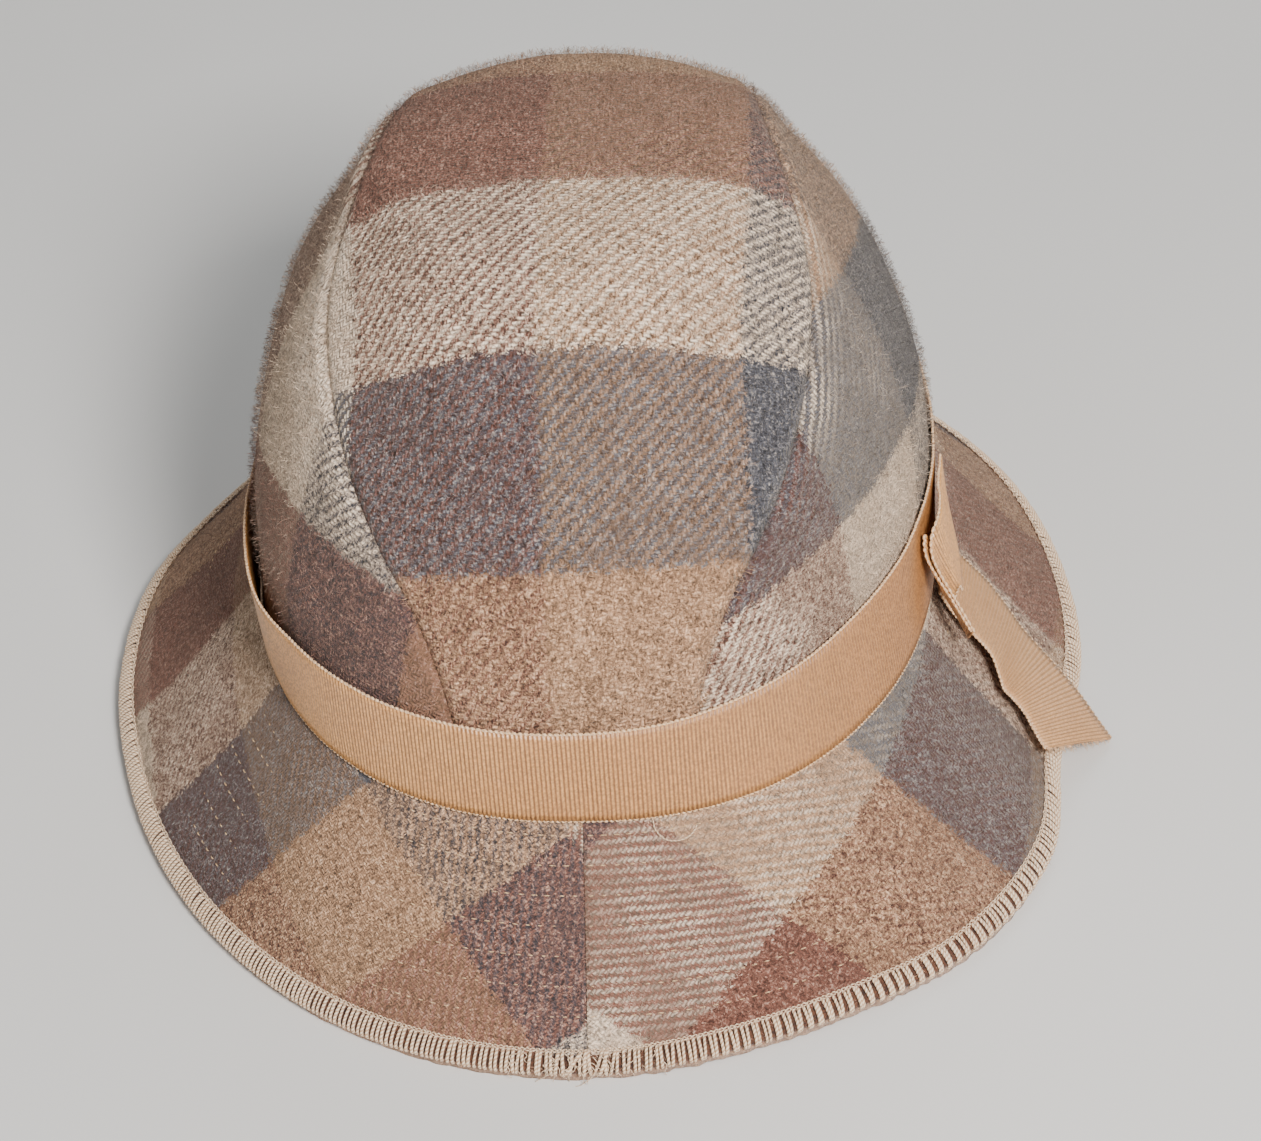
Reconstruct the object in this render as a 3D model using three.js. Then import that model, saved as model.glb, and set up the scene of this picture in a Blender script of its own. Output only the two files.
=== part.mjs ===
// A cloche hat of plaid coating wool: a crown of three panels, a sloping brim in two halves with an
// overcast edge, a grosgrain band and its flat bow. Millimetres, +Z up, the front faces -Y, and the
// brim's edge rests on z = 0.
import * as THREE from 'three';
import { mergeVertices } from 'three/addons/utils/BufferGeometryUtils.js';

// Crown
const HEAD_HALF_WIDTH = 81.6;     // outside of the wool where crown and brim are joined
const HEAD_HALF_DEPTH = 101.6;
const SQUARENESS = 2.25;          // 2 is an ellipse, more is squarer
const CROWN_HEIGHT = 110;         // above the join
const CROWN_LEAN = 2.7;           // the top sits this much further back than the join
const CROWN_WALL = 2;
const RIDGE_HEIGHT = 2.4;         // the turned seams lift the wool
const RIDGE_WIDTH = 11;
const SEAM_GAP = 0.3;

// Brim
const JOIN_HEIGHT = 48.4;         // join of crown and brim above the table, in the middle
const JOIN_RISE_BACK = 0.044;     // the join climbs towards the back
const JOIN_RISE_SIDE = -0.014;
const BRIM_REACH_SIDE = 40.6;     // how far the edge stands out from the join, seen from above
const BRIM_REACH_FRONT = 41.8;
const BRIM_SHIFT_BACK = 1.8;
const BRIM_THICK = 3;
const BRIM_SAG = 1.5;
const EDGE_HEIGHT = 2.85;         // top of the brim's cut edge above the table
const EDGE_WAVE = 1.45;           // lift of the highest waves off the table

// Overcast thread round the edge
const THREAD_THICK = 0.9;
const THREAD_COVER = 5.5;

// Grosgrain band and bow
const BAND_WIDTH = 23.9;
const BAND_THICK = 1;
const BAND_EASE = 0.4;            // the band lies this much off the wool
const BAND_RISE = 0.3;            // its lower edge above the join

// Clearance between neighbouring pieces
const CLEAR = 0.3;

// Number of faces
const PANEL_STEPS = 36;
const CENTRE_STEPS = 8;
const SIDE_STEPS = 10;
const BRIM_HALF_STEPS = 38;
const BRIM_WIDE_STEPS = 4;
const RING_STEPS = 2 * BRIM_HALF_STEPS;

// Half width and half depth of the crown by height, as shares of the sizes at the join
const CROWN_ROWS = [
  { up: 0.00, wide: 1.000, deep: 1.000 },
  { up: 0.15, wide: 1.000, deep: 0.998 },
  { up: 0.22, wide: 0.998, deep: 0.992 },
  { up: 0.32, wide: 0.986, deep: 0.970 },
  { up: 0.50, wide: 0.918, deep: 0.900 },
  { up: 0.66, wide: 0.822, deep: 0.795 },
  { up: 0.80, wide: 0.690, deep: 0.675 },
  { up: 0.91, wide: 0.572, deep: 0.550 },
  { up: 0.975, wide: 0.435, deep: 0.380 },
  { up: 1.00, wide: 0.000, deep: 0.000 },
];

// Seams: half angle of the centre panel by the angle from the front join over the top
const SEAM_ROWS = [
  { over: 0, half: 14.6 },
  { over: 12, half: 15.6 },
  { over: 20, half: 17.2 },
  { over: 28, half: 20.0 },
  { over: 36, half: 24.0 },
  { over: 46, half: 27.8 },
  { over: 60, half: 30.6 },
  { over: 74, half: 30.8 },
  { over: 88, half: 27.0 },
  { over: 102, half: 23.0 },
  { over: 130, half: 19.5 },
  { over: 155, half: 17.0 },
  { over: 180, half: 15.0 },
];

// Height of the seam ridges by the same angle, as shares of RIDGE_HEIGHT
const RIDGE_ROWS = [
  { over: 0, share: 0.0 },
  { over: 30, share: 0.15 },
  { over: 50, share: 0.6 },
  { over: 75, share: 1.0 },
  { over: 105, share: 1.0 },
  { over: 130, share: 0.6 },
  { over: 155, share: 0.15 },
  { over: 180, share: 0.0 },
];

// The crown is pressed in or out just above the band, as shares of the radius there.
// Angles go from the wearer's left (+X) towards the back (+Y).
const CROWN_DENTS = [
  { at: 0, out: 0.000 },
  { at: 60, out: 0.000 },
  { at: 120, out: 0.000 },
  { at: 175, out: -0.018 },
  { at: 215, out: 0.000 },
  { at: 245, out: 0.000 },
  { at: 275, out: -0.006 },
  { at: 300, out: -0.042 },
  { at: 318, out: -0.060 },
  { at: 338, out: -0.039 },
];

// The band's upper edge leans in or stands off, as shares of the radius
const BAND_LEAN = [
  { at: 0, out: 0.000 },
  { at: 60, out: 0.000 },
  { at: 120, out: 0.000 },
  { at: 175, out: -0.013 },
  { at: 197, out: 0.014 },
  { at: 209, out: 0.030 },
  { at: 220, out: 0.010 },
  { at: 240, out: 0.002 },
  { at: 275, out: -0.002 },
  { at: 300, out: -0.036 },
  { at: 318, out: -0.054 },
  { at: 338, out: -0.032 },
];

// The brim's edge by angle: out as shares of its reach, up as shares of EDGE_WAVE
const EDGE_ROWS = [
  { at: 0, out: -0.085, up: 0.0 },
  { at: 15, out: -0.048, up: 0.0 },
  { at: 32, out: 0.000, up: 0.0 },
  { at: 60, out: 0.010, up: 0.0 },
  { at: 105, out: -0.010, up: 0.0 },
  { at: 138, out: 0.008, up: 0.1 },
  { at: 152, out: 0.038, up: 0.3 },
  { at: 165, out: 0.090, up: 1.0 },
  { at: 180, out: 0.057, up: 0.6 },
  { at: 195, out: -0.004, up: 0.2 },
  { at: 218, out: -0.028, up: 0.0 },
  { at: 250, out: -0.006, up: 0.0 },
  { at: 270, out: 0.000, up: 0.0 },
  { at: 287, out: -0.010, up: 0.6 },
  { at: 300, out: 0.016, up: 0.6 },
  { at: 314, out: 0.098, up: 0.0 },
  { at: 330, out: 0.062, up: 0.0 },
  { at: 344, out: -0.145, up: 0.0 },
];

// The bow's loop, from where it leaves the band to its free end: the ribbon is folded in half along
// its length there, so it narrows and its plies count up to two. Each point is an angle round the
// hat with the distance out from the band and the height, as shares of the band's width.
const LOOP_ROWS = [
  { upper: [-2, 0.05, 0.97], lower: [-2, 0.16, 0.08], plies: 1 },
  { upper: [-8, 0.06, 0.99], lower: [-8, 0.23, 0.06], plies: 1 },
  { upper: [-12, 0.12, 1.00], lower: [-12, 0.27, 0.04], plies: 1 },
  { upper: [-15.5, 0.15, 0.98], lower: [-14.6, 0.30, 0.10], plies: 1.2 },
  { upper: [-18.2, 0.13, 0.92], lower: [-16.0, 0.30, 0.22], plies: 1.7 },
  { upper: [-19.6, 0.14, 0.78], lower: [-17.0, 0.26, 0.14], plies: 2 },
  { upper: [-20.2, 0.21, 0.60], lower: [-17.4, 0.27, 0.04], plies: 2 },
  { upper: [-20.6, 0.33, 0.37], lower: [-17.7, 0.31, -0.09], plies: 2 },
  { upper: [-21.2, 0.51, 0.02], lower: [-18.2, 0.38, -0.27], plies: 2 },
];

// The bow's tail on the brim, from the band to its slanting cut end. Each edge has its angle round
// the hat, its share of the way from join to edge, and its lift off the wool as a share of the width.
const TAIL_ROWS = [
  { front: [-12.6, 0.05, 0.06], back: [-1.5, 0.05, 0.05] },
  { front: [-13.7, 0.15, 0.09], back: [-1.0, 0.20, 0.05] },
  { front: [-14.5, 0.28, 0.16], back: [-0.8, 0.38, 0.05] },
  { front: [-15.2, 0.40, 0.21], back: [-2.4, 0.52, 0.06] },
  { front: [-17.0, 0.48, 0.21], back: [-3.8, 0.62, 0.07] },
  { front: [-17.7, 0.53, 0.19], back: [-4.8, 0.72, 0.09] },
  { front: [-17.4, 0.60, 0.18], back: [-5.8, 0.84, 0.11] },
  { front: [-17.8, 0.68, 0.19], back: [-7.2, 0.97, 0.14] },
  { front: [-19.1, 0.75, 0.20], back: [-9.3, 1.08, 0.20] },
  { front: [-20.2, 0.82, 0.21], back: [-12.0, 1.15, 0.33] },
];

const RAD = Math.PI / 180;
const TURN = 360;

// Smooth value of one column of a table at a place; a period closes the table on itself.
function along(rows, place, key, column, period = 0) {
  let list = rows;
  let x = place;
  if (period) {
    x = ((place % period) + period) % period;
    const before = { ...rows[rows.length - 1], [key]: rows[rows.length - 1][key] - period };
    const after = { ...rows[0], [key]: rows[0][key] + period };
    const next = { ...rows[1], [key]: rows[1][key] + period };
    list = [before, ...rows, after, next];
  }
  const last = list.length - 1;
  x = Math.min(Math.max(x, list[0][key]), list[last][key]);
  let i = 0;
  while (i < last - 1 && x > list[i + 1][key]) i += 1;
  const slope = (k) => {
    const a = list[Math.max(k - 1, 0)];
    const b = list[Math.min(k + 1, last)];
    return (b[column] - a[column]) / (b[key] - a[key]);
  };
  const span = list[i + 1][key] - list[i][key];
  const u = (x - list[i][key]) / span;
  const start = (1 + 2 * u) * (1 - u) ** 2 * list[i][column] + u * (1 - u) ** 2 * span * slope(i);
  const end = u * u * (3 - 2 * u) * list[i + 1][column] - u * u * (1 - u) * span * slope(i + 1);
  return start + end;
}

// The crown's rows again, by the square root of the distance below the top, which rounds the top.
const DOME_ROWS = CROWN_ROWS.map((row) => ({ ...row, down: Math.sqrt(1 - row.up) })).reverse();

// Share of a dent that is felt at a height: none at the join, all at the band's upper edge.
function dentShare(up) {
  const full = (BAND_RISE + BAND_WIDTH) / CROWN_HEIGHT;
  const gone = 0.6;
  if (up < full) return up / full;
  const v = Math.max((gone - up) / (gone - full), 0);
  return v * v * (3 - 2 * v);
}

// Half width and half depth of the crown at a height above the join, drawn in by an inset.
function crownSize(height, inset) {
  const tall = CROWN_HEIGHT - inset;
  const up = Math.min(Math.max(height / tall, 0), 1);
  const down = Math.sqrt(1 - up);
  return {
    up,
    wide: (HEAD_HALF_WIDTH - inset) * along(DOME_ROWS, down, 'down', 'wide'),
    deep: (HEAD_HALF_DEPTH - inset) * along(DOME_ROWS, down, 'down', 'deep'),
  };
}

// Where a line at an angle round the hat meets a rounded oblong of given half sizes.
function oblong(angle, wide, deep) {
  const c = Math.cos(angle * RAD);
  const s = Math.sin(angle * RAD);
  const q = (Math.abs(c) ** SQUARENESS + Math.abs(s) ** SQUARENESS) ** (-1 / SQUARENESS);
  return [wide * q * c, deep * q * s];
}

// From crown space, whose join is level at height 0, to the hat's own frame.
function place(x, y, height) {
  const up = Math.min(Math.max(height / CROWN_HEIGHT, 0), 1);
  const rise = (JOIN_RISE_BACK * y + JOIN_RISE_SIDE * x) * (1 - up);
  return new THREE.Vector3(x, y + CROWN_LEAN * up, JOIN_HEIGHT + height + rise);
}

// Angle over the crown and angle to the side of a direction, in degrees.
function panelAngles(dir) {
  const over = Math.atan2(dir.z, -dir.y) / RAD;
  const side = Math.atan2(dir.x, Math.hypot(dir.y, dir.z)) / RAD;
  return { over: Math.min(Math.max(over, 0), 180), side };
}

// The direction with these two angles.
function panelDirection(over, side) {
  const flat = Math.cos(side * RAD);
  return new THREE.Vector3(
    Math.sin(side * RAD), -flat * Math.cos(over * RAD), flat * Math.sin(over * RAD));
}

// Point of the crown in a direction from the middle of its join, on its outside or an inset inside.
function crownPoint(dir, inset) {
  const outside = (reach) => {
    const height = dir.z * reach;
    if (height >= CROWN_HEIGHT - inset) return true;
    const size = crownSize(height, inset);
    const angle = Math.atan2(dir.y / HEAD_HALF_DEPTH, dir.x / HEAD_HALF_WIDTH) / RAD;
    const dent = 1 + along(CROWN_DENTS, angle, 'at', 'out', TURN) * dentShare(size.up);
    const a = Math.abs(dir.x * reach) / (size.wide * dent);
    const b = Math.abs(dir.y * reach) / (size.deep * dent);
    return a ** SQUARENESS + b ** SQUARENESS > 1;
  };
  let near = 0;
  let far = HEAD_HALF_WIDTH + HEAD_HALF_DEPTH + CROWN_HEIGHT;
  for (let i = 0; i < 44; i += 1) {
    const middle = (near + far) / 2;
    if (outside(middle)) far = middle;
    else near = middle;
  }
  const { over, side } = panelAngles(dir);
  const half = along(SEAM_ROWS, over, 'over', 'half');
  const away = (Math.abs(side) - half) * RAD * far;
  const ridge = RIDGE_HEIGHT * along(RIDGE_ROWS, over, 'over', 'share');
  const reach = far + ridge * Math.exp(-((away / RIDGE_WIDTH) ** 2));
  return new THREE.Vector3(dir.x * reach, dir.y * reach, dir.z * reach);
}

// A wall of the crown: its outside and inside points in a direction, in the hat's frame.
function crownWall(dir) {
  return [0, CROWN_WALL].map((inset) => {
    const p = crownPoint(dir, inset);
    return place(p.x, p.y, Math.max(p.z, 0) + CLEAR / 2);
  });
}

// Closed body between two grids of points with the same rows and columns.
function shell(outer, inner) {
  const rows = outer.length;
  const columns = outer[0].length;
  const corners = [...outer.flat(), ...inner.flat()];
  const at = (side, r, c) => side * rows * columns + r * columns + c;
  const faces = [];
  const quad = (a, b, c, d) => faces.push(a, b, c, a, c, d);
  for (let r = 0; r < rows - 1; r += 1) {
    for (let c = 0; c < columns - 1; c += 1) {
      quad(at(0, r, c), at(0, r, c + 1), at(0, r + 1, c + 1), at(0, r + 1, c));
      quad(at(1, r, c), at(1, r + 1, c), at(1, r + 1, c + 1), at(1, r, c + 1));
    }
    quad(at(0, r, 0), at(0, r + 1, 0), at(1, r + 1, 0), at(1, r, 0));
    const e = columns - 1;
    quad(at(0, r + 1, e), at(0, r, e), at(1, r, e), at(1, r + 1, e));
  }
  for (let c = 0; c < columns - 1; c += 1) {
    const e = rows - 1;
    quad(at(0, 0, c + 1), at(0, 0, c), at(1, 0, c), at(1, 0, c + 1));
    quad(at(0, e, c), at(0, e, c + 1), at(1, e, c + 1), at(1, e, c));
  }
  return bodyOf(corners, faces);
}

// Closed ring whose section, a list of points, is given at each step round it.
function ringOf(sections) {
  const steps = sections.length;
  const count = sections[0].length;
  const faces = [];
  for (let r = 0; r < steps; r += 1) {
    const next = (r + 1) % steps;
    for (let c = 0; c < count; c += 1) {
      const d = (c + 1) % count;
      const [a, b] = [r * count + c, r * count + d];
      const [e, f] = [next * count + d, next * count + c];
      faces.push(a, b, e, a, e, f);
    }
  }
  return bodyOf(sections.flat(), faces);
}

// Geometry from points and faces, without the faces that have shrunk to nothing, turned outwards.
function bodyOf(corners, faces) {
  let body = new THREE.BufferGeometry();
  body.setAttribute('position', new THREE.Float32BufferAttribute(corners.flatMap((p) => [p.x, p.y, p.z]), 3));
  body.setIndex(faces);
  body = mergeVertices(body, 1e-4);
  const index = Array.from(body.index.array);
  const position = body.getAttribute('position');
  const kept = [];
  let volume = 0;
  for (let i = 0; i < index.length; i += 3) {
    const [a, b, c] = index.slice(i, i + 3);
    if (a === b || b === c || a === c) continue;
    kept.push(a, b, c);
    const [p, q, r] = [a, b, c].map((k) => new THREE.Vector3().fromBufferAttribute(position, k));
    volume += p.dot(q.cross(r));
  }
  if (volume < 0) kept.reverse();
  body.setIndex(kept);
  body.computeVertexNormals();
  return body;
}

// Angle that a clearance takes up at a distance, in degrees.
function angleOf(width, distance) {
  return width / distance / RAD;
}

// The strip from the front over the top to the back.
function centrePanel() {
  const outer = [];
  const inner = [];
  for (let r = 0; r <= PANEL_STEPS; r += 1) {
    const over = (180 * r) / PANEL_STEPS;
    const seam = along(SEAM_ROWS, over, 'over', 'half');
    const half = seam - angleOf(SEAM_GAP / 2, HEAD_HALF_WIDTH * Math.cos(seam * RAD));
    const walls = [];
    for (let c = 0; c <= CENTRE_STEPS; c += 1) {
      walls.push(crownWall(panelDirection(over, half * (1 - (2 * c) / CENTRE_STEPS))));
    }
    outer.push(walls.map((w) => w[0]));
    inner.push(walls.map((w) => w[1]));
  }
  return shell(outer, inner);
}

// A side of the crown, between the join and its seam: side is 1 on the wearer's left, -1 on the right.
function sidePanel(side) {
  const outer = [];
  const inner = [];
  const first = SEAM_ROWS[0].half;
  const last = SEAM_ROWS[SEAM_ROWS.length - 1].half;
  for (let r = 0; r <= PANEL_STEPS; r += 1) {
    const share = r / PANEL_STEPS;
    const over = 180 * share;
    const seam = along(SEAM_ROWS, over, 'over', 'half');
    const gap = angleOf(SEAM_GAP / 2, HEAD_HALF_WIDTH * Math.cos(seam * RAD));
    const top = panelDirection(over, seam + gap);
    const round = (-90 + first + gap) * (1 - share) + (90 - last - gap) * share;
    const foot = new THREE.Vector3(Math.cos(round * RAD), Math.sin(round * RAD), 0);
    const walls = [];
    for (let c = 0; c <= SIDE_STEPS; c += 1) {
      const dir = foot.clone().lerp(top, c / SIDE_STEPS).normalize();
      dir.x *= side;
      walls.push(crownWall(dir));
    }
    outer.push(walls.map((w) => w[0]));
    inner.push(walls.map((w) => w[1]));
  }
  return shell(outer, inner);
}

// Frame of the brim at an angle: its top at the join, and the directions down it and off it.
function brimFrame(angle) {
  const [x, y] = oblong(angle, HEAD_HALF_WIDTH, HEAD_HALF_DEPTH);
  const join = place(x, y, 0);
  join.z -= CLEAR / 2;
  const out = along(EDGE_ROWS, angle, 'at', 'out', TURN);
  const wide = HEAD_HALF_WIDTH + BRIM_REACH_SIDE * (1 + out);
  const deep = HEAD_HALF_DEPTH + BRIM_REACH_FRONT * (1 + out);
  const wave = Math.max(along(EDGE_ROWS, angle, 'at', 'up', TURN), 0) * EDGE_WAVE;
  const edge = new THREE.Vector3(
    wide * Math.cos(angle * RAD), deep * Math.sin(angle * RAD) + BRIM_SHIFT_BACK, EDGE_HEIGHT + wave);
  const run = edge.clone().sub(join);
  const flat = Math.hypot(run.x, run.y);
  const bind = CLEAR + THREAD_THICK;
  const slope = run.clone().normalize();
  edge.addScaledVector(new THREE.Vector3(slope.x, slope.y, 0), -bind);
  run.copy(edge).sub(join);
  const length = run.length();
  slope.copy(run).divideScalar(length);
  const off = new THREE.Vector3((-slope.z * run.x) / flat, (-slope.z * run.y) / flat, Math.hypot(slope.x, slope.y));
  return { join, run, slope, off: off.normalize(), length, wave };
}

// Point of the brim: share goes from join to edge, lift is off its upper face.
function brimPoint(angle, share, lift) {
  const { join, run, off } = brimFrame(angle);
  const sag = BRIM_SAG * Math.sin(Math.PI * share);
  return join.clone().addScaledVector(run, share).addScaledVector(off, lift - sag);
}

// Half of the brim, from the middle of the front to the middle of the back.
function brimHalf(side) {
  const outer = [];
  const inner = [];
  const gap = angleOf(SEAM_GAP / 2, HEAD_HALF_DEPTH);
  for (let r = 0; r <= BRIM_HALF_STEPS; r += 1) {
    const share = r / BRIM_HALF_STEPS;
    const angle = side > 0 ? -90 + gap + (180 - 2 * gap) * share : 270 - gap - (180 - 2 * gap) * share;
    const line = (lift) => Array.from({ length: BRIM_WIDE_STEPS + 1 },
      (_, c) => brimPoint(angle, c / BRIM_WIDE_STEPS, lift));
    outer.push(line(0));
    inner.push(line(-BRIM_THICK));
  }
  return shell(outer, inner);
}

// Section of the overcast thread, as distance past the cut edge and lift off the upper face.
// The two land points lie on the table or on the wave above it.
function edgeSection() {
  const t = THREAD_THICK;
  const low = -BRIM_THICK - CLEAR;
  return [
    { out: -THREAD_COVER, lift: CLEAR },
    { out: -THREAD_COVER / 2, lift: CLEAR },
    { out: CLEAR, lift: CLEAR },
    { out: CLEAR, lift: low },
    { out: -THREAD_COVER, lift: low },
    { out: -THREAD_COVER, lift: low - 0.6 * t },
    { out: 0.8 - THREAD_COVER, lift: low - t },
    { out: -1.2, lift: low - t },
    { out: -0.4, lift: low - 0.8 * t, land: true },
    { out: CLEAR + 0.7 * t, lift: 0.1 + low / 1.1, land: true },
    { out: CLEAR + t, lift: low * 0.52 },
    { out: CLEAR + t, lift: low * 0.12 },
    { out: CLEAR + 0.6 * t, lift: CLEAR + 0.35 * t },
    { out: -0.3, lift: CLEAR + 0.95 * t },
    { out: -1.4, lift: CLEAR + t },
    { out: 0.8 - THREAD_COVER, lift: CLEAR + t },
    { out: -THREAD_COVER, lift: CLEAR + 0.6 * t },
  ];
}

// The thread wrapped over the brim's edge, all the way round.
function edgeOverlock() {
  const section = edgeSection();
  const sections = [];
  for (let r = 0; r < RING_STEPS; r += 1) {
    const angle = -90 + (TURN * r) / RING_STEPS;
    const { length, wave } = brimFrame(angle);
    sections.push(section.map(({ out, lift, land }) => {
      const p = brimPoint(angle, 1 + out / length, lift);
      if (land) p.z = wave;
      return p;
    }));
  }
  return ringOf(sections);
}

// Point of the band's outer face: share goes up its width, off is the distance out from it.
function bandPoint(angle, share, off) {
  const grow = BAND_EASE + BAND_THICK;
  const [x, y] = oblong(angle, HEAD_HALF_WIDTH + grow, HEAD_HALF_DEPTH + grow);
  const lean = 1 + along(BAND_LEAN, angle, 'at', 'out', TURN) * share;
  const ahead = oblong(angle + 1, HEAD_HALF_WIDTH + grow, HEAD_HALF_DEPTH + grow);
  const tangent = new THREE.Vector2(ahead[0] - x, ahead[1] - y).normalize();
  return place(x * lean + tangent.y * off, y * lean - tangent.x * off, BAND_RISE + BAND_WIDTH * share);
}

// The band, a closed ribbon round the crown.
function ribbonBand() {
  const levels = [0, 0.5, 1];
  const sections = [];
  for (let r = 0; r < RING_STEPS; r += 1) {
    const angle = (TURN * r) / RING_STEPS;
    const outside = levels.map((share) => bandPoint(angle, share, 0));
    const inside = levels.map((share) => bandPoint(angle, share, -BAND_THICK)).reverse();
    sections.push([...outside, ...inside]);
  }
  return ringOf(sections);
}

// A ribbon through a grid of points on its middle, with so many plies in each row.
function ribbonThrough(grid, plies) {
  const rows = grid.length;
  const columns = grid[0].length;
  const normalAt = (r, c) => {
    const onward = grid[Math.min(r + 1, rows - 1)][c].clone().sub(grid[Math.max(r - 1, 0)][c]);
    const across = grid[r][Math.min(c + 1, columns - 1)].clone().sub(grid[r][Math.max(c - 1, 0)]);
    return onward.cross(across).normalize();
  };
  const face = (side) => grid.map((line, r) => line.map(
    (p, c) => p.clone().addScaledVector(normalAt(r, c), (side * plies[r] * BAND_THICK) / 2)));
  return shell(face(1), face(-1));
}

// The loop of the bow, which lies against the band and ends in a folded flap.
function bowLoop() {
  const point = ([angle, out, up]) => bandPoint(angle, up, out * BAND_WIDTH);
  const grid = LOOP_ROWS.map((row) => {
    const [upper, lower] = [point(row.upper), point(row.lower)];
    return [0, 1 / 3, 2 / 3, 1].map((share) => upper.clone().lerp(lower, share));
  });
  return ribbonThrough(grid, LOOP_ROWS.map((row) => row.plies));
}

// The long end of the bow, lying over the brim.
function bowTail() {
  const point = ([angle, share, lift]) => brimPoint(angle, share, lift * BAND_WIDTH);
  const grid = TAIL_ROWS.map((row) => {
    const [front, back] = [point(row.front), point(row.back)];
    return [front, front.clone().lerp(back, 0.5), back];
  });
  return ribbonThrough(grid, TAIL_ROWS.map(() => 1));
}

const WOOL_CAMEL = { color: 0xa98a6c, roughness: 0.95, metalness: 0 };
const WOOL_GREY = { color: 0x77706f, roughness: 0.95, metalness: 0 };
const THREAD = { color: 0xc9a884, roughness: 0.6, metalness: 0 };
const GROSGRAIN = { color: 0xc79563, roughness: 0.5, metalness: 0 };

function named(name, geometry, finish) {
  const mesh = new THREE.Mesh(geometry, new THREE.MeshStandardMaterial(finish));
  mesh.name = name;
  return mesh;
}

const hat = new THREE.Group();
const crown = new THREE.Group();
crown.add(
  named('crown_centre', centrePanel(), WOOL_CAMEL),
  named('crown_left', sidePanel(1), WOOL_GREY),
  named('crown_right', sidePanel(-1), WOOL_GREY));
const brim = new THREE.Group();
brim.add(
  named('brim_left', brimHalf(1), WOOL_CAMEL),
  named('brim_right', brimHalf(-1), WOOL_CAMEL),
  named('edge_overlock', edgeOverlock(), THREAD));
const trim = new THREE.Group();
trim.add(
  named('ribbon_band', ribbonBand(), GROSGRAIN),
  named('bow_loop', bowLoop(), GROSGRAIN),
  named('bow_tail', bowTail(), GROSGRAIN));
hat.add(crown, brim, trim);

// The middle of the whole hat's plan stands on the origin.
const middle = new THREE.Box3().setFromObject(hat).getCenter(new THREE.Vector3());
hat.position.set(-middle.x, -middle.y, 0);

export default hat;
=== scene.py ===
"""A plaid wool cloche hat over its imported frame: napped crown and brim, overcast edge, grosgrain band and bow."""

from __future__ import annotations

import logging
import math
from dataclasses import dataclass, field
from enum import Enum

import bmesh
import bpy
import numpy as np
from mathutils import Matrix, Vector

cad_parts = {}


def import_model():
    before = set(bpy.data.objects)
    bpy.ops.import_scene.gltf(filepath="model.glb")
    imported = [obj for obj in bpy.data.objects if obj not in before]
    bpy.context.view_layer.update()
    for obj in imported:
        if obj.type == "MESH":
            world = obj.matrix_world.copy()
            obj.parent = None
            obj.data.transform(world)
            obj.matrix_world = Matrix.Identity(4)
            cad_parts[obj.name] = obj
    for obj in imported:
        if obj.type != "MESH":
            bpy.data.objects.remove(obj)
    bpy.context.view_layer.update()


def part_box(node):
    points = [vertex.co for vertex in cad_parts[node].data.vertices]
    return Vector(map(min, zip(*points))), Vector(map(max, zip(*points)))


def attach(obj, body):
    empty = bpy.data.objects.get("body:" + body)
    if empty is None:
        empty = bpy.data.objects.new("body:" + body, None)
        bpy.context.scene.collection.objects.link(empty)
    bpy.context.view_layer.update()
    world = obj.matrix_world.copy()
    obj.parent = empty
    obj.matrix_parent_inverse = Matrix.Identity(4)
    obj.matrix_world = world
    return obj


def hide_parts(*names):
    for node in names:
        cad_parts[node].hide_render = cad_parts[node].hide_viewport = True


LOG = logging.getLogger("hat")
# Low and high corner of a part of the bake map.
Area = tuple[float, float, float, float]
MM = 0.001
TURN = 360.0
CLOTH_MAP = "Cloth"
BAKE_MAP = "OFBake"
WEAR = "wear"

# Crown: half width and half depth by height, as shares of the sizes at the join.
CROWN_UP = (0, 0.15, 0.22, 0.32, 0.5, 0.66, 0.8, 0.91, 0.975, 1.0)
CROWN_WIDE = (1, 1, 0.998, 0.986, 0.918, 0.822, 0.69, 0.572, 0.435, 0)
CROWN_DEEP = (1, 0.998, 0.992, 0.97, 0.9, 0.795, 0.675, 0.55, 0.38, 0)
# Seams: half angle of the centre panel, and height of the ridge, by the angle over the top.
SEAM_OVER = (0, 12, 20, 28, 36, 46, 60, 74, 88, 102, 130, 155, 180)
SEAM_HALF = (14.6, 15.6, 17.2, 20, 24, 27.8, 30.6, 30.8, 27, 23, 19.5, 17, 15)
RIDGE_OVER = (0, 30, 50, 75, 105, 130, 155, 180)
RIDGE_SHARE = (0, 0.15, 0.6, 1, 1, 0.6, 0.15, 0)
# The crown's dents above the band and the band's lean, by the angle round the hat.
LEAN_AT = (0, 60, 120, 175, 197, 209, 220, 240, 275, 300, 318, 338)
LEAN_OUT = (0, 0, 0, -0.013, 0.014, 0.03, 0.01, 0.002, -0.002, -0.036, -0.054, -0.032)
DENT_AT = (0, 60, 120, 175, 215, 245, 275, 300, 318, 338)
DENT_OUT = (0, 0, 0, -0.018, 0, 0, -0.006, -0.042, -0.06, -0.039)
# The brim's edge: out as shares of its reach, up as shares of the wave.
EDGE_AT = (0, 15, 32, 60, 105, 138, 152, 165, 180, 195, 218, 250, 270, 287, 300, 314, 330, 344)
EDGE_OUT = (-0.085, -0.048, 0, 0.01, -0.01, 0.008, 0.038, 0.09, 0.057, -0.004, -0.028, -0.006,
            0, -0.01, 0.016, 0.098, 0.062, -0.145)
EDGE_UP = (0, 0, 0, 0, 0, 0.1, 0.3, 1, 0.6, 0.2, 0, 0, 0, 0.6, 0.6, 0, 0, 0)
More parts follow.
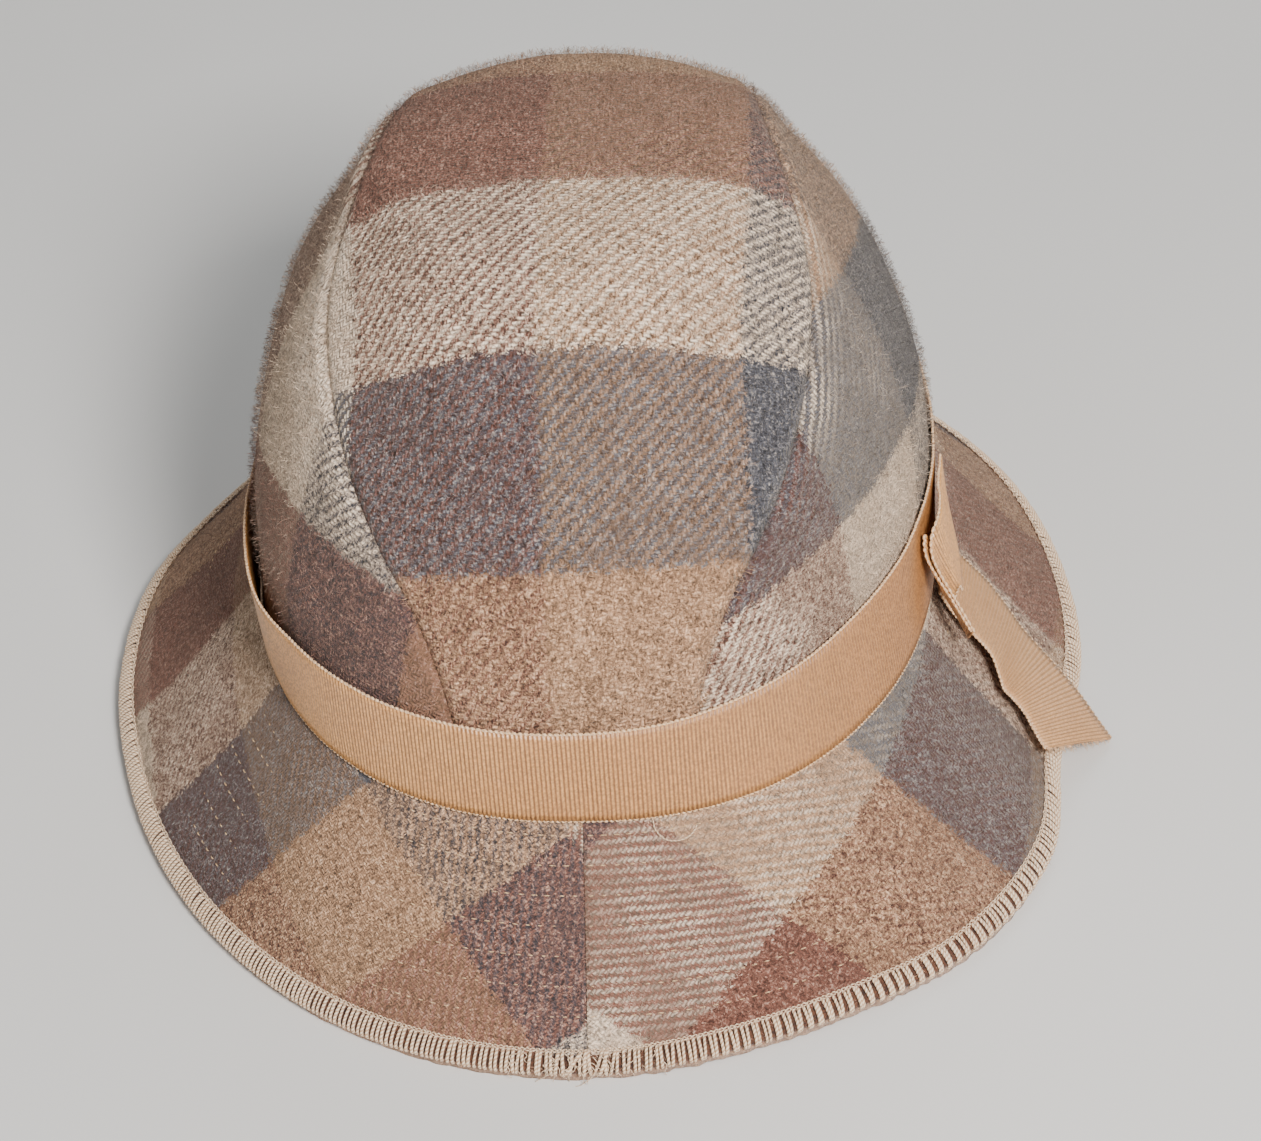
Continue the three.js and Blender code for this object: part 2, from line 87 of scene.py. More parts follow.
# The bow's tail: front and back edge as angle, share of the brim, lift as a share of the width.
TAIL_FRONT = ((-12.6, 0.05, 0.06), (-13.7, 0.15, 0.09), (-14.5, 0.28, 0.16), (-15.2, 0.40, 0.21),
              (-17.0, 0.48, 0.21), (-17.7, 0.53, 0.19), (-17.4, 0.60, 0.18), (-17.8, 0.68, 0.19),
              (-19.1, 0.75, 0.20), (-20.2, 0.82, 0.21))
TAIL_BACK = ((-1.5, 0.05, 0.05), (-1.0, 0.20, 0.05), (-0.8, 0.38, 0.05), (-2.4, 0.52, 0.06),
             (-3.8, 0.62, 0.07), (-4.8, 0.72, 0.09), (-5.8, 0.84, 0.11), (-7.2, 0.97, 0.14),
             (-9.3, 1.08, 0.20), (-12.0, 1.15, 0.33))
# The bow's loop: upper and lower edge as angle, distance out and height as shares of the width.
LOOP_UPPER = ((-2, 0.05, 0.97), (-8, 0.06, 0.99), (-12, 0.12, 1.00), (-15.5, 0.15, 0.98),
              (-18.2, 0.13, 0.92), (-19.6, 0.14, 0.78), (-20.2, 0.21, 0.60), (-20.6, 0.33, 0.37),
              (-21.2, 0.51, 0.02))
LOOP_LOWER = ((-2, 0.16, 0.08), (-8, 0.23, 0.06), (-12, 0.27, 0.04), (-14.6, 0.30, 0.10),
              (-16.0, 0.30, 0.22), (-17.0, 0.26, 0.14), (-17.4, 0.27, 0.04), (-17.7, 0.31, -0.09),
              (-18.2, 0.38, -0.27))

# A bead of the ribbon's edge: place along it, how far it stands out and its thickness.
BEAD_ALONG = np.linspace(-0.5, 0.5, 5)
BEAD_OUT = np.array([0, 0.8, 1, 0.8, 0])
BEAD_SIZE = np.array([0.3, 0.9, 1.1, 0.9, 0.3])


def unit(vectors: np.ndarray) -> np.ndarray:
    """Vectors of length one."""
    return vectors / np.maximum(np.linalg.norm(vectors, axis=-1, keepdims=True), 1e-12)


def ease(share: np.ndarray) -> np.ndarray:
    """Smooth step from 0 to 1."""
    share = np.clip(share, 0, 1)
    return share * share * (3 - 2 * share)


def bell(share: np.ndarray) -> np.ndarray:
    """Bell curve: 1 at 0 and about a third at 1."""
    return np.exp(-share ** 2)


def rgb(code: str, gain: float = 1.0) -> tuple[float, float, float, float]:
    """Linear colour of a hex code.

    Args:
        code: six hex digits, as seen on a screen.
        gain: factor on the linear values.

    Returns:
        Red, green, blue and alpha.
    """
    parts = [int(code[i:i + 2], 16) / 255 for i in (0, 2, 4)]
    linear = [p / 12.92 if p <= 0.04045 else ((p + 0.055) / 1.055) ** 2.4 for p in parts]
    return (linear[0] * gain, linear[1] * gain, linear[2] * gain, 1.0)


def lengths(line: np.ndarray) -> np.ndarray:
    """Length along a line from its start to each of its points."""
    return np.concatenate([[0], np.cumsum(np.linalg.norm(np.diff(line, axis=0), axis=1))])


def along_line(place: np.ndarray, run: np.ndarray, line: np.ndarray) -> np.ndarray:
    """Points at places along a line whose points lie at the lengths in run."""
    return np.stack([np.interp(place, run, line[:, i]) for i in range(line.shape[1])], -1)


def together(*parts: np.ndarray) -> np.ndarray:
    """Arrays brought to one shape and joined along a new last axis."""
    return np.stack(np.broadcast_arrays(*parts), -1)


class Curve:
    """Smooth value of a short table; a period closes the table on itself."""

    def __init__(self, places: tuple, values: tuple, period: float = 0.0) -> None:
        """Keeps the table and works out its slopes.

        Args:
            places: rising places.
            values: the value at each place.
            period: length after which the table repeats, or 0.
        """
        x, y = np.asarray(places, float), np.asarray(values, float)
        if period:
            x = np.concatenate([[x[-1] - period], x, x[:2] + period])
            y = np.concatenate([[y[-1]], y, y[:2]])
        number = np.arange(len(x))
        before, after = np.maximum(number - 1, 0), np.minimum(number + 1, len(x) - 1)
        self.x, self.y, self.period = x, y, period
        self.slope = (y[after] - y[before]) / (x[after] - x[before])

    def __call__(self, place: np.ndarray) -> np.ndarray:
        """Value at each place."""
        at = np.asarray(place, float)
        if self.period:
            at = np.mod(at, self.period)
        at = np.clip(at, self.x[0], self.x[-1])
        i = np.clip(np.searchsorted(self.x, at, side="left") - 1, 0, len(self.x) - 2)
        span = self.x[i + 1] - self.x[i]
        u = (at - self.x[i]) / span
        start = (1 + 2 * u) * (1 - u) ** 2 * self.y[i] + u * (1 - u) ** 2 * span * self.slope[i]
        end = u * u * (3 - 2 * u) * self.y[i + 1] - u * u * (1 - u) * span * self.slope[i + 1]
        return start + end


def smooth_rows(table: tuple, count: int) -> np.ndarray:
    """Smooth rows through the rows of a table."""
    values = np.asarray(table, float)
    place = np.linspace(0, len(values) - 1, count)
    return np.stack([Curve(np.arange(len(values)), column)(place) for column in values.T], -1)


class Ripple:
    """Soft unevenness of cloth, the same on each run: a sum of slow waves through space."""

    def __init__(self, seed: int, longest: float, shortest: float, waves: int = 14) -> None:
        """Picks the waves.

        Args:
            seed: start of the random numbers.
            longest: longest wave in millimetres.
            shortest: shortest wave in millimetres.
            waves: how many waves are added.
        """
        draw = np.random.default_rng(seed)
        length = np.exp(draw.uniform(math.log(shortest), math.log(longest), waves))
        self.turn = unit(draw.normal(size=(waves, 3))) * (2 * math.pi / length)[:, None]
        self.phase = draw.uniform(0, 2 * math.pi, waves)
        self.share = length / np.sqrt((length ** 2).sum())

    def __call__(self, points: np.ndarray) -> np.ndarray:
        """Height at each point, about -1 to 1."""
        return (np.sin(points @ self.turn.T + self.phase) * self.share).sum(-1)


@dataclass
class HatForm:
    """Sizes of the hat in millimetres, as the frame has them, and the surfaces that they give."""

    half_width: float = 81.6
    half_depth: float = 101.6
    squareness: float = 2.25
    crown_height: float = 110.0
    crown_lean: float = 2.7
    crown_wall: float = 2.0
    ridge_height: float = 2.4
    ridge_width: float = 11.0
    join_height: float = 48.4
    rise_back: float = 0.044
    rise_side: float = -0.014
    reach_side: float = 40.6
    reach_front: float = 41.8
    shift_back: float = 1.8
    brim_thick: float = 3.0
    brim_sag: float = 1.5
    edge_height: float = 2.85
    edge_wave: float = 1.45
    thread_thick: float = 0.9
    band_width: float = 23.9
    band_thick: float = 1.0
    band_ease: float = 0.4
    band_rise: float = 0.3
    clear: float = 0.3
    halvings: int = 36
    shift: np.ndarray = field(default_factory=lambda: np.zeros(3))

    def __post_init__(self) -> None:
        """Makes the curves and finds where the frame stands."""
        down = np.sqrt(1 - np.asarray(CROWN_UP))[::-1]
        self.wide = Curve(down, CROWN_WIDE[::-1])
        self.deep = Curve(down, CROWN_DEEP[::-1])
        self.seam = Curve(SEAM_OVER, SEAM_HALF)
        self.ridge = Curve(RIDGE_OVER, RIDGE_SHARE)
        self.dent = Curve(DENT_AT, DENT_OUT, TURN)
        self.lean = Curve(LEAN_AT, LEAN_OUT, TURN)
        self.edge_out = Curve(EDGE_AT, EDGE_OUT, TURN)
        self.edge_up = Curve(EDGE_AT, EDGE_UP, TURN)
        low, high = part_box("ribbon_band")
        grow = self.half_depth + self.band_ease + self.band_thick
        self.shift = np.array([(low.x + high.x) / 2 / MM, low.y / MM + grow - 0.01, 0.0])

    def to_frame(self, points: np.ndarray) -> np.ndarray:
        """Points of the hat in metres, where the frame has them."""
        return (points + self.shift) * MM

    def oblong(self, angle: np.ndarray, wide: float, deep: float) -> tuple[np.ndarray, np.ndarray]:
        """Where a line at an angle meets a rounded oblong.

        Args:
            angle: degrees from the wearer's left towards the back.
            wide: half width.
            deep: half depth.

        Returns:
            x and y.
        """
        c, s = np.cos(np.radians(angle)), np.sin(np.radians(angle))
        n = self.squareness
        q = (np.abs(c) ** n + np.abs(s) ** n) ** (-1 / n)
        return wide * q * c, deep * q * s

    def place(self, x: np.ndarray, y: np.ndarray, height: np.ndarray) -> np.ndarray:
        """From crown space, whose join is level, to the hat."""
        up = np.clip(height / self.crown_height, 0, 1)
        rise = (self.rise_back * y + self.rise_side * x) * (1 - up)
        return np.stack([x, y + self.crown_lean * up, self.join_height + height + rise], -1)

    @staticmethod
    def direction(over: np.ndarray, side: np.ndarray) -> np.ndarray:
        """Direction with an angle over the crown and an angle to the side, in degrees."""
        o, s = np.radians(over), np.radians(side)
        return together(np.sin(s), -np.cos(s) * np.cos(o), np.cos(s) * np.sin(o))

    @staticmethod
    def panel_angles(ways: np.ndarray) -> tuple[np.ndarray, np.ndarray]:
        """The two angles of directions, in degrees."""
        over = np.degrees(np.arctan2(ways[..., 2], -ways[..., 1]))
        side = np.degrees(np.arctan2(ways[..., 0], np.hypot(ways[..., 1], ways[..., 2])))
        return np.clip(over, 0, 180), side

    def _outside(self, ways: np.ndarray, reach: np.ndarray, inset: float) -> np.ndarray:
        """Whether points at a reach along directions lie outside the crown."""
        height = ways[..., 2] * reach
        tall = self.crown_height - inset
        up = np.clip(height / tall, 0, 1)
        down = np.sqrt(1 - up)
        wide = (self.half_width - inset) * self.wide(down)
        deep = (self.half_depth - inset) * self.deep(down)
        angle = np.degrees(np.arctan2(ways[..., 1] / self.half_depth, ways[..., 0] / self.half_width))
        full = (self.band_rise + self.band_width) / self.crown_height
        share = np.where(up < full, up / full, ease((0.6 - up) / (0.6 - full)))
        dent = 1 + self.dent(angle) * share
        with np.errstate(divide="ignore", invalid="ignore"):
            far = (np.abs(ways[..., 0] * reach) / (wide * dent)) ** self.squareness
            far = far + (np.abs(ways[..., 1] * reach) / (deep * dent)) ** self.squareness
        return (height >= tall) | (far > 1)

    def crown(self, ways: np.ndarray, inset: float = 0.0) -> np.ndarray:
        """Points of the crown's wall in directions from the middle of its join.

        Args:
            ways: directions.
            inset: distance inside the outer face.

        Returns:
            Points in the hat, in millimetres.
        """
        near = np.zeros(ways.shape[:-1])
        far = np.full(ways.shape[:-1], self.half_width + self.half_depth + self.crown_height)
        for _ in range(self.halvings):
            middle = (near + far) / 2
            out = self._outside(ways, middle, inset)
            far, near = np.where(out, middle, far), np.where(out, near, middle)
        over, side = self.panel_angles(ways)
        away = np.radians(np.abs(side) - self.seam(over)) * far
        reach = far + self.ridge_height * self.ridge(over) * bell(away / self.ridge_width)
        p = ways * reach[..., None]
        return self.place(p[..., 0], p[..., 1], np.maximum(p[..., 2], 0) + self.clear / 2)

    def brim_frame(self, angle: np.ndarray) -> tuple[np.ndarray, ...]:
        """The brim's slope at angles round the hat.

        Args:
            angle: degrees from the wearer's left towards the back.

        Returns:
            Top at the join, run from there to the edge, direction off the wool, length and wave.
        """
        x, y = self.oblong(angle, self.half_width, self.half_depth)
        join = self.place(x, y, np.zeros_like(x))
        join[..., 2] -= self.clear / 2
        out = self.edge_out(angle)
        wide = self.half_width + self.reach_side * (1 + out)
        deep = self.half_depth + self.reach_front * (1 + out)
        wave = np.maximum(self.edge_up(angle), 0) * self.edge_wave
        t = np.radians(angle)
        edge = np.stack([wide * np.cos(t), deep * np.sin(t) + self.shift_back, self.edge_height + wave], -1)
        run = edge - join
        flat = np.hypot(run[..., 0], run[..., 1])
        edge[..., :2] -= unit(run)[..., :2] * (self.clear + self.thread_thick)
        run = edge - join
        slope = unit(run)
        off = together(-slope[..., 2] * run[..., 0] / flat, -slope[..., 2] * run[..., 1] / flat,
                       np.hypot(slope[..., 0], slope[..., 1]))
        return join, run, unit(off), np.linalg.norm(run, axis=-1), wave

    def brim(self, angle: np.ndarray, share: np.ndarray, lift: np.ndarray) -> np.ndarray:
        """Points of the brim: share goes from join to edge, lift is off its upper face."""
        angle, share, lift = np.broadcast_arrays(np.asarray(angle, float), share, lift)
        join, run, off = self.brim_frame(angle)[:3]
        sag = self.brim_sag * np.sin(math.pi * share)
        return join + run * share[..., None] + off * (lift - sag)[..., None]

    def band(self, angle: np.ndarray, share: np.ndarray, off: np.ndarray) -> np.ndarray:
        """Points of the band's outer face: share goes up its width, off is the distance from it."""
        angle, share, off = np.broadcast_arrays(np.asarray(angle, float), share, off)
        grow = self.band_ease + self.band_thick
        x, y = self.oblong(angle, self.half_width + grow, self.half_depth + grow)
        ax, ay = self.oblong(angle + 1, self.half_width + grow, self.half_depth + grow)
        along = unit(np.stack([ax - x, ay - y], -1))
        k = 1 + self.lean(angle) * share
        return self.place(x * k + along[..., 1] * off, y * k - along[..., 0] * off,
                          self.band_rise + self.band_width * share)


@dataclass(frozen=True)
class ClothLay:
    """How a piece was cut from the plaid: angles in degrees, widths in millimetres, starts in stripes."""

    turn: float
    skew: float
    row_width: float
    column_width: float
    row_start: float
    column_start: float
    swapped: bool = False

    def stripes(self, u: np.ndarray, v: np.ndarray) -> np.ndarray:
        """Row and column of the plaid at places, in stripes."""
        a, b = math.radians(self.turn), math.radians(self.turn + self.skew)
        row = (u * math.cos(a) + v * math.sin(a)) / self.row_width + self.row_start
        column = (v * math.cos(b) - u * math.sin(b)) / self.column_width + self.column_start
        return np.stack([column, row] if self.swapped else [row, column], -1)


class Skin:
    """Gathers grids of points, in the hat's millimetres, into one mesh with its two maps."""

    # Turns by which each strand's twist is ahead of the last one's, and share of a bake cell that a strand fills.
    golden = 1.618
    cell_fill = 0.9

    def __init__(self, form: HatForm) -> None:
        """Starts empty."""
        self.form = form
        self.count = 0
        self.parts: list[tuple[np.ndarray, ...]] = []

    def add(self, points: np.ndarray, quads: np.ndarray, cloth: np.ndarray, bake: np.ndarray,
            wear: np.ndarray | float = 0.5) -> None:
        """Adds points and faces.

        Args:
            points: places, one row each.
            quads: four point numbers for each face.
            cloth: place on the cloth of each point.
            bake: place on the bake map of each point.
            wear: how far the nap is worn off at each point, 0 to 1.
        """
        self.parts.append((points.reshape(-1, 3), quads.reshape(-1, 4) + self.count, cloth.reshape(-1, 2),
                           bake.reshape(-1, 2), np.broadcast_to(wear, points.shape[:-1]).ravel()))
        self.count += points.size // 3

    def grid(self, points: np.ndarray, cloth: np.ndarray, area: Area,
             flip: bool = False, wear: np.ndarray | float = 0.5) -> None:
        """Adds a grid of points.

        Args:
            points: rows by columns by 3.
            cloth: rows by columns by 2.
            area: low and high corner of its place on the bake map.
            flip: whether the faces are turned over.
            wear: how far the nap is worn off at each point, 0 to 1.
        """
        rows, columns = points.shape[:2]
        n = np.arange(rows * columns).reshape(rows, columns)
        quads = np.stack([n[:-1, :-1], n[:-1, 1:], n[1:, 1:], n[1:, :-1]], -1)
        if flip:
            quads = quads[..., ::-1]
        bake = together(np.linspace(area[0], area[2], columns), np.linspace(area[1], area[3], rows)[:, None])
        self.add(points, quads, cloth, bake, wear)

    def strip(self, first: np.ndarray, last: np.ndarray, cloth: np.ndarray, area: Area,
              flip: bool = False) -> None:
        """Adds the faces between two lines of points that share their places on the cloth."""
        self.grid(np.stack([first, last], 1), np.stack([cloth, cloth], 1), area, flip)

    def strands(self, paths: np.ndarray, normals: np.ndarray, width: np.ndarray, height: np.ndarray, sides: int = 6,
                area: Area = (0, 0, 1, 1)) -> None:
        """Adds many tubes of one number of points.

        Args:
            paths: strands by points by 3.
            normals: direction of each tube's height at its points.
            width: half width at each point.
            height: half height at each point.
            sides: faces round each tube.
            area: its place on the bake map.
        """
        k, n = paths.shape[:2]
        width, height = np.broadcast_to(width, (k, n)), np.broadcast_to(height, (k, n))
        along = unit(np.gradient(paths, axis=1))
        side = unit(np.cross(along, normals))
        up = np.cross(side, along)
        turn = np.linspace(0, 2 * math.pi, sides + 1)
        ring = (paths[:, :, None] + side[:, :, None] * (np.cos(turn) * width[..., None])[..., None]
                + up[:, :, None] * (np.sin(turn) * height[..., None])[..., None])
        steps = np.linalg.norm(np.diff(paths, axis=1), axis=-1)
        length = np.concatenate([np.zeros((k, 1)), np.cumsum(steps, axis=1)], axis=1)
        cell = np.arange(k)
        cloth = together(length[..., None], turn / (2 * math.pi) + cell[:, None, None] * self.golden)
        index = np.arange(k * n * (sides + 1)).reshape(k, n, sides + 1)
        quads = np.stack([index[:, :-1, :-1], index[:, :-1, 1:], index[:, 1:, 1:], index[:, 1:, :-1]], -1)
        across = math.ceil(math.sqrt(k * 4))
        down = math.ceil(k / across)
        u = ((cell % across)[:, None, None] + np.linspace(0, self.cell_fill, sides + 1)) / across
        v = ((cell // across)[:, None, None] + np.linspace(0, self.cell_fill, n)[:, None]) / down
        self.add(ring, quads, cloth, together(area[0] + (area[2] - area[0]) * u, area[1] + (area[3] - area[1]) * v))

    def build(self, name: str, finish: bpy.types.Material, nodes: tuple[str, ...], slot: str,
              weld: bool = True) -> bpy.types.Object:
        """Makes the object, lets it ride, hides the frame's nodes that it replaces and logs its face count.

        Args:
            name: the object's name.
            finish: its material.
            nodes: the frame's nodes that it replaces.
            slot: not used.
            weld: whether points that meet are joined.

        Returns:
            The object.
        """
        points, quads, cloth, bake, wear = (np.concatenate(part) for part in zip(*self.parts))
        co = self.form.to_frame(points)
        mesh = bpy.data.meshes.new(name)
        mesh.vertices.add(len(co))
        mesh.vertices.foreach_set("co", co.astype(np.float32).ravel())
        mesh.loops.add(quads.size)
        mesh.loops.foreach_set("vertex_index", quads.astype(np.int32).ravel())
        mesh.polygons.add(len(quads))
        mesh.polygons.foreach_set("loop_start", np.arange(0, quads.size, 4, dtype=np.int32))
        mesh.update(calc_edges=True)
        mesh.attributes.new(WEAR, "FLOAT", "POINT").data.foreach_set("value", wear.astype(np.float32))
        for key, values in ((CLOTH_MAP, cloth), (BAKE_MAP, bake)):
            layer = mesh.uv_layers.new(name=key)
            layer.data.foreach_set("uv", values[quads.ravel()].astype(np.float32).ravel())
        mesh.materials.append(finish)
        if weld:
            work = bmesh.new()
            work.from_mesh(mesh)
            bmesh.ops.remove_doubles(work, verts=work.verts, dist=2e-6)
            bmesh.ops.dissolve_degenerate(work, edges=work.edges, dist=1e-7)
            work.to_mesh(mesh)
            work.free()
        mesh.validate(clean_customdata=False)
        mesh.shade_smooth()
        made = bpy.data.objects.new(name, mesh)
        bpy.context.collection.objects.link(made)
        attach(made, "root")
        if nodes:
            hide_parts(*nodes)
        LOG.info("%s: %d faces", name, len(mesh.polygons))
        return made


class Value:
    """A value in a node tree that takes part in sums like a number."""

    def __init__(self, tree: Tree, socket: bpy.types.NodeSocket) -> None:
        """Keeps the socket and its tree."""
        self.tree, self.socket = tree, socket

    def __add__(self, other: object) -> Value:
        """Sum."""
        return self.tree.math("ADD", self, other)

    def __sub__(self, other: object) -> Value:
        """Difference."""
        return self.tree.math("SUBTRACT", self, other)

    def __rsub__(self, other: object) -> Value:
        """Difference, with this one taken away."""
        return self.tree.math("SUBTRACT", other, self)

    def __mul__(self, other: object) -> Value:
        """Product."""
        return self.tree.math("MULTIPLY", self, other)

    def __truediv__(self, other: object) -> Value:
        """Quotient."""
        return self.tree.math("DIVIDE", self, other)

    def __rtruediv__(self, other: object) -> Value:
        """Quotient, with this one below."""
        return self.tree.math("DIVIDE", other, self)

    __radd__, __rmul__ = __add__, __mul__

    def to(self, operation: str, other: object = 0.0) -> Value:
        """Any other operation of the Math node."""
        return self.tree.math(operation, self, other)

    def held(self) -> Value:
        """The value held between 0 and 1."""
        return self.tree.math("ADD", self, 0.0, clamp=True)

    def wave(self, turns: float = 1.0) -> Value:
        """Sine of the value in turns."""
        return (self * (2 * math.pi * turns)).to("SINE")


class Tree:
    """Short calls for a node tree."""

    def __init__(self, tree: bpy.types.NodeTree) -> None:
        """Keeps the tree."""
        self.tree = tree

    def node(self, kind: str, inputs: dict | None = None, **settings: object) -> bpy.types.Node:
        """Adds a node.

        Args:
            kind: the node's type name.
            inputs: what goes into its inputs, by name or number: a Value or a constant.
            settings: its own settings.

        Returns:
            The node.
        """
        made = self.tree.nodes.new(kind)
        for key, setting in settings.items():
            setattr(made, key, setting)
        for key, given in (inputs or {}).items():
            if isinstance(given, Value):
                self.tree.links.new(given.socket, made.inputs[key])
            else:
                made.inputs[key].default_value = given
        return made

    def value(self, kind: str, inputs: dict | None = None, key: str | int = 0, **settings: object) -> Value:
        """Adds a node and gives one of its outputs.

        Args:
            kind: the node's type name.
            inputs: what goes into its inputs.
            key: name or number of the output.
            settings: its own settings.

        Returns:
            The output.
        """
        return Value(self, self.node(kind, inputs, **settings).outputs[key])

    def math(self, operation: str, first: object, second: object = 0.0, clamp: bool = False) -> Value:
        """Adds a Math node."""
        return self.value("ShaderNodeMath", {0: first, 1: second}, operation=operation, use_clamp=clamp)

    def mix(self, share: object, first: object, second: object, blend: str = "MIX") -> Value:
        """Adds a Mix node for colours."""
        inputs = {0: share, 6: first, 7: second}
        return self.value("ShaderNodeMix", inputs, 2, data_type="RGBA", blend_type=blend)

    def ramp(self, value: Value, stops: list[tuple[float, tuple]], kind: str = "LINEAR") -> Value:
        """Adds a colour ramp; a stop's colour may be given as three numbers."""
        made = self.node("ShaderNodeValToRGB", {0: value})
        made.color_ramp.interpolation = kind
        elements = made.color_ramp.elements
        while len(elements) < len(stops):
            elements.new(0.5)
        for element, (place, colour) in zip(elements, stops):
            element.position, element.color = place, (*colour[:3], 1.0)
        return Value(self, made.outputs[0])

    def mask(self, value: Value, low: float, high: float) -> Value:
        """Rises from 0 to 1 between two values."""
        return self.ramp(value, [(low, (0, 0, 0)), (high, (1, 1, 1))])

    def noise(self, vector: Value, scale: object, detail: float = 2.0, rough: float = 0.5,
              stretch: float = 0.0) -> Value:
        """Adds a noise texture."""
        inputs = {"Vector": vector, "Scale": scale, "Detail": detail, "Roughness": rough, "Distortion": stretch}
        return self.value("ShaderNodeTexNoise", inputs)

    def spot(self) -> Value:
        """Place in space, in metres."""
        return self.value("ShaderNodeTexCoord", key="Object")

    def cloth(self) -> tuple[Value, Value]:
        """The two numbers of the cloth map."""
        made = self.node("ShaderNodeSeparateXYZ", {0: self.value("ShaderNodeUVMap", uv_map=CLOTH_MAP)})
        return Value(self, made.outputs[0]), Value(self, made.outputs[1])

    def bump(self, height: Value, strength: float, distance: float) -> Value:
        """Adds a Bump node."""
        return self.value("ShaderNodeBump", {"Strength": strength, "Distance": distance, "Height": height})


class Effect:
    """A shader group that finishes share; it is made when it is first used."""

    name = ""
    # Start value of each input; None stands for a vector.
    inputs: dict[str, float | None] = {}
    # Kind of each output.
    outputs: dict[str, str] = {}

    @staticmethod
    def values(t: Tree, given: dict[str, Value]) -> dict[str, Value]:
        """Works the outputs out from the inputs."""
        raise NotImplementedError

    @classmethod
    def use(cls, t: Tree, given: dict[str, object]) -> dict[str, Value]:
        """Adds the group to a tree.

        Args:
            t: the tree.
            given: what goes into the group, by name.

        Returns:
            What comes out, by name.
        """
        made = t.node("ShaderNodeGroup", given, node_tree=bpy.data.node_groups.get(cls.name) or cls._make())
        return {socket.name: Value(t, socket) for socket in made.outputs}

    @classmethod
    def _make(cls) -> bpy.types.NodeTree:
        """Makes the group."""
        tree = bpy.data.node_groups.new(cls.name, "ShaderNodeTree")
        for key, start in cls.inputs.items():
            kind = "NodeSocketVector" if start is None else "NodeSocketFloat"
            socket = tree.interface.new_socket(name=key, in_out="INPUT", socket_type=kind)
            if start is not None:
                socket.default_value = start
        for key, kind in cls.outputs.items():
            tree.interface.new_socket(name=key, in_out="OUTPUT", socket_type=f"NodeSocket{kind}")
        t = Tree(tree)
        sockets = t.node("NodeGroupInput").outputs
        t.node("NodeGroupOutput", cls.values(t, {key: Value(t, sockets[key]) for key in cls.inputs}))
        return tree


class BlockPlaid(Effect):
    """The yarn colours of a row and a column of the plaid."""

    name = "Block Plaid"
    inputs = {"Row": 0.0, "Column": 0.0}
    outputs = {"Row Colour": "Color", "Column Colour": "Color", "Row Pale": "Float", "Column Pale": "Float"}
    # Rust, camel, blue grey and cream; the last one is the pale yarn.
    yarns = ("85584A", "B78F6E", "585960", "E1C7AC")

    @staticmethod
    def values(t: Tree, given: dict[str, Value]) -> dict[str, Value]:
        """Works the outputs out from the inputs."""
        made = {}
        count = len(BlockPlaid.yarns)
        stops = [(n / count, rgb(code)) for n, code in enumerate(BlockPlaid.yarns)]
        for key, stripe in given.items():
            share = (stripe / count).to("FRACT")
            made[f"{key} Pale"] = share.to("GREATER_THAN", 1 - 1 / count)
            made[f"{key} Colour"] = t.ramp(share, stops, "CONSTANT")
        return made


class TwillWeave(Effect):
    """A 2/2 twill: which yarn shows, and the height of the yarns."""

    name = "Twill Weave"
    inputs = {"Row": 0.0, "Column": 0.0, "Yarns": 52.0, "Sharpness": 2.0}
    outputs = {"Row Shows": "Float", "Height": "Float"}

    @staticmethod
    def values(t: Tree, given: dict[str, Value]) -> dict[str, Value]:
        """Works the outputs out from the inputs."""
        x, y = given["Column"] * given["Yarns"], given["Row"] * given["Yarns"]
        slant = ((x - y.to("FLOOR")) / 4.0).wave()
        shows = (slant * given["Sharpness"] + 0.5).held()
        pick = y.to("FRACT").wave(0.5) * shows + x.to("FRACT").wave(0.5) * (1.0 - shows)
        return {"Row Shows": shows, "Height": pick * (slant.to("ABSOLUTE") * 0.5 + 0.5)}


class FibreHaze(Effect):
    """Loose fibres on wool: fine speckle, soft clouds and the height of the nap."""

    name = "Fibre Haze"
    inputs = {"Place": None, "Fibre Size": 0.0007}
    outputs = {"Speckle": "Float", "Cloud": "Float", "Height": "Float"}

    @staticmethod
    def values(t: Tree, given: dict[str, Value]) -> dict[str, Value]:
        """Works the outputs out from the inputs."""
        fine = t.noise(given["Place"], 1.0 / given["Fibre Size"], 3.0, 0.6, 0.8)
        coarse = t.noise(given["Place"], 0.35 / given["Fibre Size"], 2.0, 0.6, 1.5)
        speckle = ((fine * 0.65 + coarse * 0.35 - 0.5) * 4.4 + 0.5).held()
        return {"Speckle": speckle, "Cloud": t.noise(given["Place"], 55.0, 3.0, 0.55), "Height": fine + coarse}


class GrosgrainRibs(Effect):
    """The cords and fine yarns of grosgrain."""

    name = "Grosgrain Ribs"
    inputs = {"Along": 0.0, "Across": 0.0, "Pitch": 1.2, "Width": 24.0}
    outputs = {"Valley": "Float", "Yarn": "Float", "Height": "Float"}
    yarn_pitch = 0.22

    @staticmethod
    def values(t: Tree, given: dict[str, Value]) -> dict[str, Value]:
        """Works the outputs out from the inputs."""
        rib = (given["Along"] / given["Pitch"]).wave() * 0.5
        yarn = (given["Across"] * given["Width"]).wave(1 / GrosgrainRibs.yarn_pitch) * 0.5 + 0.5
        return {"Valley": 0.5 - rib, "Yarn": yarn, "Height": rib + yarn * 0.25}


@dataclass(frozen=True)
class Finish:
    """A material with a Principled shader."""

    name: str

    def surface(self, t: Tree) -> dict[str, object]:
        """What goes into the shader, by input."""
        raise NotImplementedError

    def make(self) -> bpy.types.Material:
        """Builds the material."""
        made = bpy.data.materials.new(self.name)
        made.use_nodes = True
        made.node_tree.nodes.clear()
        t = Tree(made.node_tree)
        t.node("ShaderNodeOutputMaterial", {0: t.value("ShaderNodeBsdfPrincipled", self.surface(t))})
        return made


